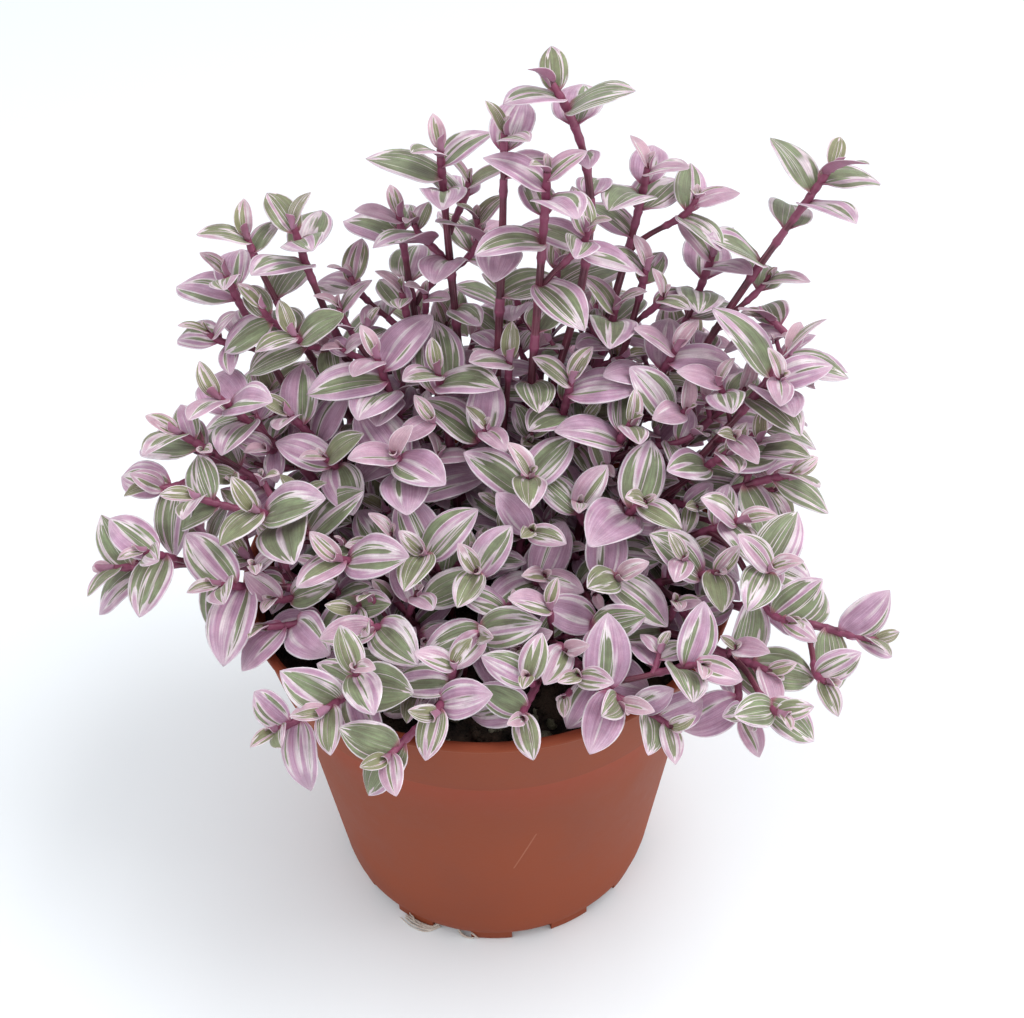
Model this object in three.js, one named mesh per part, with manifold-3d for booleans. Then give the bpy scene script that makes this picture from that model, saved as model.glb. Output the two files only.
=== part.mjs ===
// A tradescantia in a round 12 cm nursery pot: a moulded plastic pot, the potting soil that
// fills it, and 57 leafy stems that stand in plain holes in the soil. Millimetres, +Z up.
// The origin is the middle of the pot's foot ring, on the surface that the pot stands on.
import * as THREE from 'three';
import { mergeVertices } from 'three/addons/utils/BufferGeometryUtils.js';
import Module from 'manifold-3d';

const wasm = await Module();
wasm.setup();

// ---------------------------------------------------------------- driving dimensions

const POT_HEIGHT = 100;
const POT_TOP_RADIUS = 60;
const BAND_HEIGHT = 20; // the wider band below the rim
const BAND_FOOT_RADIUS = 55.4;
const WALL_TOP_RADIUS = 53.2;
const WALL_FOOT_RADIUS = 43.4;
const WALL = 1.2;
const BEAD = 1.1; // how far the rim's bead stands proud of the band
const FLOOR_UNDERSIDE = 3.4;
const FOOT_COUNT = 12;
const FOOT_TURN = -2; // degrees, where the first foot's middle is
const FOOT_SPAN = 15; // degrees
const FOOT_INNER_RADIUS = 36;
const FOOT_OUTER_RADIUS = 42;
const DRAIN_COUNT = 6;
const DRAIN_RADIUS = 4;
const DRAIN_CIRCLE = 28;
const ROUND_STEPS = 36;

const GAP = 0.3; // between one solid and the next
const SOIL_HEIGHT = 90;
const SOIL_CROWN = 2; // how much higher the soil is in the middle
const HOLE_DEPTH = 8;

const STEM_RADIUS = 1.5; // to the corners of its three-sided section
const TIP_RADIUS = 0.8;
const TIP_TAPER = 9; // the length over which a stem thins out to its tip
const HOLE_RADIUS = STEM_RADIUS + 2 * GAP; // to the corners, so that the sides are GAP apart
const NODE_HALF = 1.1; // half the length of stem that a leaf grows from
const NODE_APART = 1; // leaves whose lengths are closer than this share a ring
const SECTION = [60, 180, 300]; // degrees round the stem, where its corners are
const BARE_FOOT = 7; // the least length of stem below its first leaf
const RING_SPACING = 14; // along the bare lengths of a stem
const FORK_RADIUS = 0.4; // of a side shoot where it starts, inside its stem
const FORK_LENGTH = 2.5; // over which it widens
const CURVE_STEPS = 60; // for measuring along a curve
const LEAF_LENGTH = 18;
const LEAF_SLENDERNESS = 0.62; // width over length
const LEAF_FOLD = 0.25; // rise of the margin over half the width
const LEAF_ARCH = 0.08;
const LEAF_DROOP = 0.16;
const BLADE_OVER = 0.5; // thickness over and under the blade's middle surface, at the midrib
const BLADE_UNDER = 0.7;
const WIDE_AT = 0.25; // the share of a leaf's length where its section is set
const NARROW_AT = 0.68; // and where it narrows to the tip
const NODE_REACH = 3.4; // the nearest that the widest part is to the stem's axis
const GOLDEN_ANGLE = 137.5; // degrees from one leaf to the next round the stem
const STEM_CLEARANCE = 3.4; // between the middle lines of two stems
const CLEARANCE = 2.7; // between the middle surfaces of blades on different stems
const OWN_CLEARANCE = 1.9; // and on the same stem
const POT_CLEARANCE = 1.6; // to the pot and the soil

// ---------------------------------------------------------------- where the stems end

// Each leafy stem: the bearing of its tip in degrees from +X, the tip's reach from the pot's
// axis and its height, the turn of its youngest leaf, and where its side shoots end. A lean
// gives the bearing of the tip's heading and its rise above level, where they aren't those of
// the rule in `growthOf`.
const STEMS = [
  { tip: [66, 38, 207], turn: 200, lean: [170, 55] },
  { tip: [80, 31, 198], turn: 60, side: [[92, 40, 172]] },
  { tip: [103, 41, 190], turn: 20, side: [[94, 47, 178], [112, 43, 171]] },
  { tip: [47, 56, 184], turn: 80, side: [[38, 63, 177]] },
  { tip: [28, 92, 182], turn: 10, lean: [28, 50], side: [[27, 76, 158]] },
  { tip: [56, 26, 193], turn: 150, side: [[40, 31, 180]] },
  { tip: [114, 49, 171], turn: 30, side: [[113, 36, 156], [92, 52, 160]] },
  { tip: [40, 50, 163], turn: 5, side: [[33, 50, 158]] },
  { tip: [36, 68, 162], turn: 300 },
  { tip: [121, 38, 157], turn: 100, side: [[128, 53, 156]] },
  { tip: [66, 44, 160], turn: 210, side: [[79, 40, 152]] },
  { tip: [145, 68, 169], turn: 350, side: [[154, 58, 158]] },
  { tip: [138, 60, 171], turn: 290, side: [[154, 50, 153]] },
  { tip: [150, 71, 161], turn: 60, side: [[157, 72, 149]] },
  { tip: [145, 31, 149], turn: 20, side: [[136, 49, 152]] },
  { tip: [128, 18, 147], turn: 0, side: [[90, 5, 137]] },
  { tip: [70, 17, 149], turn: 350 },
  { tip: [32, 24, 145], turn: 320, side: [[65, 31, 143]] },
  { tip: [43, 43, 154], turn: 260 },
  { tip: [23, 49, 149], turn: 330, side: [[8, 47, 140]] },
  { tip: [12, 62, 141], turn: 100 },
  { tip: [10, 71, 152], turn: 350, lean: [0, 50], side: [[24, 73, 150]] },
  { tip: [166, 48, 137], turn: 60, side: [[177, 38, 131]] },
  { tip: [176, 72, 137], turn: 30, side: [[183, 77, 128]] },
  { tip: [169, 64, 142], turn: 340 },
  { tip: [195, 54, 129], turn: 0, lean: [240, 52], side: [[189, 67, 130]] },
  { tip: [203, 66, 117], turn: 100, side: [[208, 55, 112]] },
  { tip: [190, 89, 113], turn: 30, lean: [188, 5], side: [[196, 80, 124]] },
  { tip: [186, 21, 135], turn: 320, lean: [262, 52] },
  { tip: [327, 12, 132], turn: 50, side: [[300, 20, 124]] },
  { tip: [341, 38, 128], turn: 90, side: [[337, 23, 125]] },
  { tip: [6, 34, 139], turn: 40, side: [[7, 49, 133]] },
  { tip: [358, 56, 134], turn: 20 },
  { tip: [357, 71, 128], turn: 10, lean: [350, 15] },
  { tip: [345, 60, 125], turn: 290, side: [[342, 68, 117], [330, 76, 115]] },
  { tip: [332, 58, 120], turn: 15, lean: [285, 50], side: [[326, 57, 109]] },
  { tip: [316, 41, 120], turn: 330, side: [[302, 46, 113]] },
  { tip: [216, 41, 123], turn: 340, side: [[225, 43, 113]] },
  { tip: [236, 26, 122], turn: 20, side: [[208, 30, 118]] },
  { tip: [265, 27, 121], turn: 10 },
  { tip: [237, 47, 116], turn: 300, side: [[229, 33, 111]] },
  { tip: [268, 41, 115], turn: 0 },
  { tip: [301, 25, 114], turn: 90 },
  { tip: [291, 48, 114], turn: 10, side: [[277, 59, 108]] },
  { tip: [239, 67, 110], turn: 30, lean: [235, 20], side: [[231, 73, 103]] },
  { tip: [259, 59, 109], turn: 10, lean: [250, 25], side: [[252, 69, 104]] },
  { tip: [297, 63, 109], turn: 320, lean: [300, 20], side: [[304, 70, 104], [313, 67, 113]] },
  { tip: [339, 94, 104], turn: 20, lean: [345, 0], side: [[327, 88, 106]] },
  { tip: [325, 76, 105], turn: 30, lean: [320, 15], side: [[317, 77, 99], [316, 86, 109]] },
  { tip: [211, 59, 108], turn: 200, lean: [205, 25] },
  { tip: [18, 76, 124], turn: 0, side: [[5, 70, 116]] },
  { tip: [42, 72, 132], turn: 70, side: [[52, 64, 120]] },
  { tip: [62, 62, 139], turn: 140, side: [[70, 60, 122]] },
  { tip: [85, 60, 140], turn: 210, side: [[84, 60, 117]] },
  { tip: [107, 61, 134], turn: 280, side: [[102, 58, 116]] },
  { tip: [128, 66, 130], turn: 350, side: [[140, 64, 118]] },
  { tip: [150, 72, 124], turn: 60, side: [[160, 66, 115]] },
];

// The leaves of a stem from the youngest down: the distance from the tip, the angle off the
// stem, and the length and breadth as shares of the full ones.
const LEAF_RANKS = [
  [0.7, 30, 0.6, 0.66],
  [2.8, 48, 0.78, 0.82],
  [5.2, 61, 0.94, 0.96],
  [8, 69, 1.05, 1],
  [11.4, 75, 1.08, 1],
  [18, 80, 1.0, 1],
  [28, 84, 0.96, 1],
  [40, 86, 0.95, 1],
  [53, 86, 0.9, 1],
];
const SIDE_LEAVES = 4; // how many leaves a side shoot has
const SIDE_SIZE = 0.86; // its size, as a share of a stem's
const SIDE_REACH = 15; // how far below its end a side shoot would best leave its stem
const FORKS = [0.35, 0.42, 0.49, 0.56, 0.63, 0.7, 0.77]; // the shares of a stem where it may
const LEAF_TURNS = [0, 15, -15, 30, -30, 48, -48]; // tried in turn where a leaf would touch
const LEAF_RAISES = [0, 12, -10];
const LEAF_SIZES = [1, 0.88, 0.76, 0.64];
const STEM_SWAYS = [0, 5, -5, 10, -10, 15, -15, 20, -20];
const STEM_REACHES = [0.36, 0.2, 0.52]; // of the tip's heading, back along the stem
const ROOT_SPACING = 8;
const ROOT_CIRCLE = 45;

// ---------------------------------------------------------------- vectors and chance

const rad = THREE.MathUtils.degToRad;
const add = (a, b) => [a[0] + b[0], a[1] + b[1], a[2] + b[2]];
const scale = (a, k) => [a[0] * k, a[1] * k, a[2] * k];
const sub = (a, b) => add(a, scale(b, -1));
const dot = (a, b) => a[0] * b[0] + a[1] * b[1] + a[2] * b[2];
const size = (a) => Math.sqrt(dot(a, a));
const unit = (a) => scale(a, 1 / size(a));
const cross = (a, b) => [
  a[1] * b[2] - a[2] * b[1],
  a[2] * b[0] - a[0] * b[2],
  a[0] * b[1] - a[1] * b[0],
];
const square = (a, axis) => unit(sub(a, scale(axis, dot(a, axis)))); // a, made square to axis
const polar = ([bearing, reach, height]) => [
  reach * Math.cos(rad(bearing)),
  reach * Math.sin(rad(bearing)),
  height,
];
const heading = ([bearing, rise]) => [
  Math.cos(rad(rise)) * Math.cos(rad(bearing)),
  Math.cos(rad(rise)) * Math.sin(rad(bearing)),
  Math.sin(rad(rise)),
];

// The same draw, from -1 to 1, for the same axis of growth, leaf and use, whatever the order.
function chance(axis, leaf, use) {
  let h = Math.imul(axis + 1, 73856093) ^ Math.imul(leaf + 1, 19349663);
  h = Math.imul(h ^ (use * 83492791), 2246822519);
  h = Math.imul(h ^ (h >>> 15), 3266489917);
  return ((h ^ (h >>> 16)) >>> 0) / 2147483648 - 1;
}

// ---------------------------------------------------------------- solids

function solidOf(geometry) {
  const bare = geometry.clone();
  bare.deleteAttribute('normal');
  bare.deleteAttribute('uv');
  const merged = mergeVertices(bare, 1e-4);
  const vertProperties = new Float32Array(merged.attributes.position.array);
  const triVerts = new Uint32Array(merged.index.array);
  return new wasm.Manifold(new wasm.Mesh({ numProp: 3, vertProperties, triVerts }));
}

function solidOfFaces(points, faces) {
  const vertProperties = new Float32Array(points.flat());
  const triVerts = new Uint32Array(faces.flat());
  return new wasm.Manifold(new wasm.Mesh({ numProp: 3, vertProperties, triVerts }));
}

function meshOf(solid, name, colour, roughness) {
  const { vertProperties, triVerts } = solid.getMesh();
  const geometry = new THREE.BufferGeometry();
  geometry.setAttribute('position', new THREE.BufferAttribute(vertProperties, 3));
  geometry.setIndex(new THREE.BufferAttribute(triVerts, 1));
  const material = new THREE.MeshStandardMaterial({ color: colour, roughness, metalness: 0 });
  const mesh = new THREE.Mesh(geometry, material);
  mesh.name = name;
  return mesh;
}

// A profile of [radius, height] points turned round the Z axis.
function turned(profile, steps) {
  const points = profile.map(([r, z]) => new THREE.Vector2(r, z));
  return solidOf(new THREE.LatheGeometry(points, steps).rotateX(Math.PI / 2));
}

function prism(radius, sides, low, high, x, y) {
  const geometry = new THREE.CylinderGeometry(radius, radius, high - low, sides);
  return solidOf(geometry.rotateX(Math.PI / 2).translate(x, y, (low + high) / 2));
}

// ---------------------------------------------------------------- the pot

const bandFoot = POT_HEIGHT - BAND_HEIGHT;
const floorTop = FLOOR_UNDERSIDE + WALL;

// The pot's outer radius and inner radius at a height.
function outerRadius(z) {
  if (z > bandFoot) {
    const up = (z - bandFoot) / BAND_HEIGHT;
    return BAND_FOOT_RADIUS + (POT_TOP_RADIUS - BEAD - BAND_FOOT_RADIUS) * up;
  }
  return WALL_FOOT_RADIUS + ((WALL_TOP_RADIUS - WALL_FOOT_RADIUS) * (z - 5)) / (bandFoot - 6);
}
const innerRadius = (z) => outerRadius(z) - WALL;

function pot() {
  const wallTop = bandFoot - 1;
  const profile = [
    [0, FLOOR_UNDERSIDE],
    [WALL_FOOT_RADIUS - 1, FLOOR_UNDERSIDE],
    [WALL_FOOT_RADIUS, 5],
    [WALL_TOP_RADIUS, wallTop],
    [BAND_FOOT_RADIUS, bandFoot + 0.2],
    [POT_TOP_RADIUS - BEAD, POT_HEIGHT - 2.3],
    [POT_TOP_RADIUS, POT_HEIGHT - 1.6],
    [POT_TOP_RADIUS, POT_HEIGHT - 0.6],
    [POT_TOP_RADIUS - 0.6, POT_HEIGHT],
    [POT_TOP_RADIUS - BEAD - WALL, POT_HEIGHT],
    [innerRadius(bandFoot + 1.4), bandFoot + 1.4],
    [WALL_TOP_RADIUS - WALL, wallTop + 0.4],
    [WALL_FOOT_RADIUS - WALL, floorTop],
    [0, floorTop],
  ];
  let solid = turned(profile, ROUND_STEPS);
  const foot = new THREE.Shape();
  foot.absarc(0, 0, FOOT_OUTER_RADIUS, rad(-FOOT_SPAN / 2), rad(FOOT_SPAN / 2), false);
  foot.absarc(0, 0, FOOT_INNER_RADIUS, rad(FOOT_SPAN / 2), rad(-FOOT_SPAN / 2), true);
  const options = { depth: FLOOR_UNDERSIDE + WALL / 2, bevelEnabled: false, curveSegments: 1 };
  for (let k = 0; k < FOOT_COUNT; k += 1) {
    const turn = rad(FOOT_TURN + (360 / FOOT_COUNT) * k);
    solid = solid.add(solidOf(new THREE.ExtrudeGeometry(foot, options).rotateZ(turn)));
  }
  for (let k = 0; k < DRAIN_COUNT; k += 1) {
    const [x, y] = polar([(360 / DRAIN_COUNT) * (k + 0.5), DRAIN_CIRCLE, 0]);
    solid = solid.subtract(prism(DRAIN_RADIUS, 8, 0, floorTop + 1, x, y));
  }
  return meshOf(solid, 'pot', 0xa0574a, 0.55);
}

// ---------------------------------------------------------------- where the stems grow

function soilHeight(x, y) {
  const crown = SOIL_CROWN * (1 - (x * x + y * y) / 3100);
  return SOIL_HEIGHT + crown + 0.5 * Math.sin(0.31 * x + 1) * Math.cos(0.27 * y);
}

// The roots follow the tips' bearings, closer in, and are then moved apart.
function rootPlaces() {
  const roots = STEMS.map(({ tip }) => polar([tip[0], ROOT_CIRCLE * (tip[1] / 93) ** 0.8, 0]));
  for (let round = 0; round < 80; round += 1) {
    for (let i = 1; i < roots.length; i += 1) {
      for (let j = 0; j < i; j += 1) {
        const apart = sub(roots[i], roots[j]);
        const push = (ROOT_SPACING - size(apart)) / 2;
        if (push > 0) {
          roots[i] = add(roots[i], scale(unit(apart), push));
          roots[j] = add(roots[j], scale(unit(apart), -push));
        }
      }
      const reach = size(roots[i]);
      if (reach > ROOT_CIRCLE) roots[i] = scale(roots[i], ROOT_CIRCLE / reach);
    }
  }
  return roots.map(([x, y]) => [x, y, soilHeight(x, y)]);
}

// Stems lean outwards, more the further out they end and the lower they are, and to the light.
function growthOf(tip, lean) {
  if (lean) return heading(lean);
  const [x, y] = tip;
  const low = Math.max(0.2, Math.min(1, (175 - tip[2]) / 50));
  return unit([(x / 62) * low, (y / 62) * low - 0.4 * low, 1]);
}

const bezier = (p, t) => {
  const s = 1 - t;
  const near = add(scale(p[0], s * s * s), scale(p[1], 3 * s * s * t));
  return add(near, add(scale(p[2], 3 * s * t * t), scale(p[3], t * t * t)));
};
const bezierHeading = (p, t) => {
  const s = 1 - t;
  const near = add(scale(sub(p[1], p[0]), s * s), scale(sub(p[2], p[1]), 2 * s * t));
  return unit(add(near, scale(sub(p[3], p[2]), t * t)));
};

// What is already grown, as points in cells, so that what would touch it is found.
const grown = new Map();
const cell = (v) => Math.floor(v / STEM_CLEARANCE) + 512;
const cellKey = (i, j, k) => (i * 1024 + j) * 1024 + k;

function keep(points, owner) {
  for (const p of points) {
    const key = cellKey(cell(p[0]), cell(p[1]), cell(p[2]));
    if (!grown.has(key)) grown.set(key, []);
    grown.get(key).push([...p, owner]);
  }
}

function touchesGrown([x, y, z], isOwn, room) {
  for (let i = cell(x) - 1; i <= cell(x) + 1; i += 1) {
    for (let j = cell(y) - 1; j <= cell(y) + 1; j += 1) {
      for (let k = cell(z) - 1; k <= cell(z) + 1; k += 1) {
        for (const [gx, gy, gz, other] of grown.get(cellKey(i, j, k)) ?? []) {
          const far = (gx - x) ** 2 + (gy - y) ** 2 + (gz - z) ** 2;
          if (far < room * room && !isOwn(other)) return true;
        }
      }
    }
  }
  return false;
}

function touchesPot([x, y, z], room) {
  const r = Math.sqrt(x * x + y * y);
  if (z > POT_HEIGHT + room || r > POT_TOP_RADIUS + room) return false;
  return r > innerRadius(z) - room || z < soilHeight(x, y) + room;
}

const isFree = (points, isOwn, room) =>
  !points.some((p) => touchesPot(p, POT_CLEARANCE) || touchesGrown(p, isOwn, room));

// Points close together on a curve, from its parameter `start` to its end.
function pointsAlong(curve, start) {
  const count = Math.ceil(size(sub(curve[3], curve[0])) / 1.1);
  const points = [];
  for (let n = Math.ceil(start * count); n <= count; n += 1) points.push(bezier(curve, n / count));
  return points;
}

// A stem rises out of the soil, or a side shoot out of its stem, and ends in its heading. It is
// bent aside where it would touch another stem.
function route(from, rise, to, growth, stem, start) {
  const far = size(sub(to, from));
  const aside = unit(cross([0, 0, 1], add(sub(to, from), [0.01, 0, 0])));
  const curves = STEM_REACHES.flatMap((reach) =>
    STEM_SWAYS.map((sway) => {
      const before = add(add(to, scale(growth, -far * reach)), scale(aside, sway));
      return [from, add(from, scale(rise, far * 0.4)), before, to];
    }),
  );
  const isOwn = (other) => axes[other].stem === stem;
  const clear = (curve) => isFree(pointsAlong(curve, start), isOwn, STEM_CLEARANCE);
  return curves.find(clear) ?? curves[0];
}

// ---------------------------------------------------------------- the stems and side shoots

const axes = [];
const roots = rootPlaces();

function grow(stem, curve, leaves, turn, vigour) {
  const tipHeading = bezierHeading(curve, 1);
  const north = square([0, 1, 0], tipHeading);
  const west = cross(tipHeading, north);
  const front = add(scale(north, Math.cos(rad(turn))), scale(west, Math.sin(rad(turn))));
  axes.push({ stem, curve, leaves, vigour, tipHeading, front });
  keep(pointsAlong(curve, 0), axes.length - 1);
}

STEMS.forEach(({ tip, turn, lean }, stem) => {
  const end = polar(tip);
  const curve = route(roots[stem], [0, 0, 1], end, growthOf(end, lean), stem, 0.15);
  grow(stem, curve, LEAF_RANKS.length, turn, 1);
});

STEMS.forEach(({ turn, side }, stem) => {
  (side ?? []).forEach((place, n) => {
    const end = polar(place);
    const growth = growthOf(end);
    const wanted = sub(end, scale(growth, SIDE_REACH));
    const main = axes[stem].curve;
    const far = (t) => size(sub(bezier(main, t), wanted));
    const fork = FORKS.reduce((best, t) => (far(t) < far(best) ? t : best));
    const from = bezier(main, fork);
    const rise = unit(add(bezierHeading(main, fork), unit(sub(end, from))));
    grow(stem, route(from, rise, end, growth, stem, 0.12), SIDE_LEAVES, turn + 70 + 90 * n, SIDE_SIZE);
  });
});

// ---------------------------------------------------------------- the leaves

// Half the blade's width, over its greatest, at a share of its length.
const bladeWidth = (v) => ((1 - v) ** 0.75 * (v + 0.06) ** 0.55) / 0.445;

// A point of the blade: v along it, u across it from -1 to 1, and its height over the middle.
function bladePoint({ base, along, over, length, breadth }, v, u, height) {
  const half = (length * LEAF_SLENDERNESS * breadth * bladeWidth(v) * u) / 2;
  const rise = length * (LEAF_ARCH * Math.sin(Math.PI * v) - LEAF_DROOP * v * v);
  const flat = add(scale(along, length * v), scale(cross(over, along), half));
  return add(add(base, flat), scale(over, rise + LEAF_FOLD * Math.abs(half) + height));
}

function bladePoints(leaf) {
  const points = [];
  for (const v of [0.2, 0.33, 0.46, 0.6, 0.74, 0.87, 1]) {
    for (const u of [-1, -0.5, 0, 0.5, 1]) points.push(bladePoint(leaf, v, u, 0));
  }
  return points;
}

// The parameter of the point that lies a distance back from the end of a curve.
function backAlong(curve, distance) {
  let walked = 0;
  for (let n = CURVE_STEPS; n > 0; n -= 1) {
    const step = size(sub(bezier(curve, n / CURVE_STEPS), bezier(curve, (n - 1) / CURVE_STEPS)));
    walked += step;
    if (walked >= distance) return (n - 1 + (walked - distance) / step) / CURVE_STEPS;
  }
  return 0;
}

function lengthOf(curve) {
  let walked = 0;
  for (let n = 0; n < CURVE_STEPS; n += 1) {
    walked += size(sub(bezier(curve, (n + 1) / CURVE_STEPS), bezier(curve, n / CURVE_STEPS)));
  }
  return walked;
}

// The direction square to a stem's heading at a turn round it from its youngest leaf, whose own
// direction is carried down the stem without twisting.
function around({ tipHeading, front }, up, turn) {
  const carried = sub(front, scale(add(tipHeading, up), dot(front, up) / (1 + dot(tipHeading, up))));
  return add(scale(carried, Math.cos(rad(turn))), scale(cross(up, carried), Math.sin(rad(turn))));
}

// Leaves of one stem are close at their feet. From a third of its length on, a leaf is kept
// apart from the others and from the stem itself.
function isClearOfOwn(leaf, number) {
  const outerPoints = (blade) => bladePoints(blade).slice(5);
  const outer = outerPoints(leaf);
  const isNear = (own) => outer.some((a) => own.some((b) => size(sub(a, b)) < OWN_CLEARANCE));
  if (isNear(pointsAlong(axes[number].curve, 0))) return false;
  return !leaves[number].some((other) => isNear(outerPoints(other)));
}

// A leaf where its axis of growth puts it, turned, raised or made smaller until it is clear.
function leafOf(number, rank) {
  const { curve, vigour } = axes[number];
  const [back, spread, grownTo, breadth] = LEAF_RANKS[rank];
  if (back * vigour > lengthOf(curve) - BARE_FOOT) return null;
  const t = backAlong(curve, back * vigour);
  const base = bezier(curve, t);
  const up = bezierHeading(curve, t);
  const round = GOLDEN_ANGLE * rank + 10 * chance(number, rank, 1);
  const tilt = spread + 5 * chance(number, rank, 2);
  const length = LEAF_LENGTH * grownTo * vigour * (1 + 0.1 * chance(number, rank, 3));
  for (const smaller of LEAF_SIZES) {
    for (const raised of LEAF_RAISES) {
      for (const turnedBy of LEAF_TURNS) {
        const off = rad(tilt + raised);
        const out = around(axes[number], up, round + turnedBy);
        const along = add(scale(up, Math.cos(off)), scale(out, Math.sin(off)));
        const over = square(up, along);
        const leaf = { base, along, over, length: length * smaller, breadth, round, back: back * vigour };
        const isClear = isFree(bladePoints(leaf), (other) => other === number, CLEARANCE);
        if (isClear && isClearOfOwn(leaf, number)) return leaf;
      }
    }
  }
  return null;
}

const leaves = axes.map(() => []);
for (let rank = 0; rank < LEAF_RANKS.length; rank += 1) {
  axes.forEach((axis, number) => {
    const leaf = rank < axis.leaves ? leafOf(number, rank) : null;
    if (leaf) {
      leaves[number].push(leaf);
      keep(bladePoints(leaf), number);
    }
  });
}

// ---------------------------------------------------------------- leafy stems as solids

// The lengths of stem that leaves grow from, as distances back from the tip. Where two would
// come close, they meet halfway.
function spansOf(own) {
  const end = (from, to) => {
    const apart = Math.abs(from - to);
    return from + Math.sign(to - from) * (apart < 2 * NODE_HALF + NODE_APART ? apart / 2 : NODE_HALF);
  };
  return own.map(({ back }, n) => {
    const older = n < own.length - 1 ? own[n + 1].back : Infinity;
    const younger = n > 0 ? own[n - 1].back : -back;
    return [end(back, older), Math.max(0, end(back, younger))];
  });
}

// The rings of a stem from its foot to its tip. A leaf grows between its ring and the next.
function ringsOf(number) {
  const { curve, stem, vigour } = axes[number];
  const own = leaves[number];
  const spans = spansOf(own);
  const ringAt = (back, turn) => {
    const t = backAlong(curve, back);
    const radius = TIP_RADIUS + (STEM_RADIUS - TIP_RADIUS) * Math.min(1, back / TIP_TAPER);
    return { centre: bezier(curve, t), up: bezierHeading(curve, t), radius: radius * vigour, turn, back };
  };
  const length = lengthOf(curve);
  const rings = [];
  const climb = (back, turn) => {
    const last = rings.at(-1);
    const count = Math.ceil((last.back - back) / RING_SPACING);
    for (let n = 1; n <= count; n += 1) {
      const share = n / count;
      rings.push(ringAt(last.back + (back - last.back) * share, last.turn + (turn - last.turn) * share));
    }
  };

  if (number === stem) {
    const foot = { up: [0, 0, 1], radius: STEM_RADIUS, turn: 0, back: length };
    rings.push({ ...foot, centre: add(curve[0], [0, 0, GAP - HOLE_DEPTH]) });
    rings.push({ ...foot, centre: add(curve[0], [0, 0, GAP]) });
  } else {
    const turn = own.at(-1).round;
    rings.push({ ...ringAt(length, turn), radius: FORK_RADIUS });
    rings.push(ringAt(length - FORK_LENGTH, turn));
  }
  for (let n = own.length - 1; n >= 0; n -= 1) {
    const [low, high] = spans[n];
    const last = rings.at(-1);
    const turn = own[n].round + 120 * Math.round((last.turn - own[n].round) / 120);
    if (last.back - low > 0.01) climb(low, turn);
    else last.turn = (last.turn + turn) / 2;
    rings.at(-1).leaf = own[n];
    climb(high, turn);
  }
  climb(0, rings.at(-1).turn);
  return rings;
}

// A folded blade grown out of four corners of the stem: a row of keel, margin, midrib and
// margin where it is widest, its two margins further out, and its tip. Over and under, it is
// split along the same lines.
function addBlade(leaf, corners, points, faces) {
  const place = (v, u, height) => points.push(bladePoint(leaf, v, u, height)) - 1;
  const wide = Math.max(WIDE_AT, NODE_REACH / leaf.length);
  const [keel, right, rib, left] = [
    place(wide, 0, -BLADE_UNDER),
    place(wide, 1, 0),
    place(wide, 0, BLADE_OVER),
    place(wide, -1, 0),
  ];
  const narrow = Math.max(NARROW_AT, wide + 0.3);
  const [farRight, farLeft, tip] = [place(narrow, 1, 0), place(narrow, -1, 0), place(1, 0, 0)];
  const row = [keel, right, rib, left];
  for (let k = 0; k < 4; k += 1) {
    const next = (k + 1) % 4;
    faces.push([corners[k], corners[next], row[k]], [corners[next], row[next], row[k]]);
  }
  faces.push([rib, farRight, right], [rib, tip, farRight], [rib, left, farLeft], [rib, farLeft, tip]);
  faces.push([keel, right, farRight], [keel, farRight, tip], [keel, farLeft, left], [keel, tip, farLeft]);
}

// A three-sided stem with its leaves, as one closed mesh.
function shoot(number) {
  const points = [];
  const faces = [];
  const corner = ({ centre, up, radius, turn }, bearing) =>
    add(centre, scale(around(axes[number], up, turn + bearing), radius));
  const apart = (a, b) => size(sub(points[a], points[b]));
  const rings = ringsOf(number);
  const loops = rings.map((ring) => SECTION.map((bearing) => points.push(corner(ring, bearing)) - 1));
  faces.push([...loops[0]].reverse(), loops.at(-1));
  for (let n = 0; n < rings.length - 1; n += 1) {
    const sides = [0, 1, 2].map((k) => {
      const next = (k + 1) % 3;
      return [loops[n][k], loops[n][next], loops[n + 1][next], loops[n + 1][k]];
    });
    const { leaf, centre } = rings[n];
    const faced = (side) => side.reduce((sum, p) => sum + dot(sub(points[p], centre), leaf.along), 0);
    const best = leaf ? sides.reduce((a, b) => (faced(b) > faced(a) ? b : a)) : null;
    for (const side of sides) {
      const [a, b, c, d] = side;
      if (side === best) addBlade(leaf, side, points, faces);
      else if (apart(a, c) < apart(b, d)) faces.push([a, b, c], [a, c, d]);
      else faces.push([a, b, d], [b, c, d]);
    }
  }
  return solidOfFaces(points, faces);
}

function leafyStem(stem) {
  let solid = shoot(stem);
  axes.forEach((axis, number) => {
    if (axis.stem === stem && number !== stem) solid = solid.add(shoot(number));
  });
  const colours = [0xc79cc0, 0x8f9f78, 0xb58fb0, 0xa3a688];
  const name = `leafy_stem_${String(stem + 1).padStart(2, '0')}`;
  return meshOf(solid, name, colours[stem % colours.length], 0.5);
}

// ---------------------------------------------------------------- the soil

// A plain three-sided hole, turned as the stem that stands in it is.
function hole(stem) {
  const [x, y, z] = roots[stem];
  const outline = SECTION.map((turn) => scale(around(axes[stem], [0, 0, 1], turn), HOLE_RADIUS));
  const shape = new THREE.Shape(outline.map((p) => new THREE.Vector2(p[0], p[1])));
  const geometry = new THREE.ExtrudeGeometry(shape, { depth: HOLE_DEPTH + 3, bevelEnabled: false });
  return solidOf(geometry.translate(x, y, z - HOLE_DEPTH));
}

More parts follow.
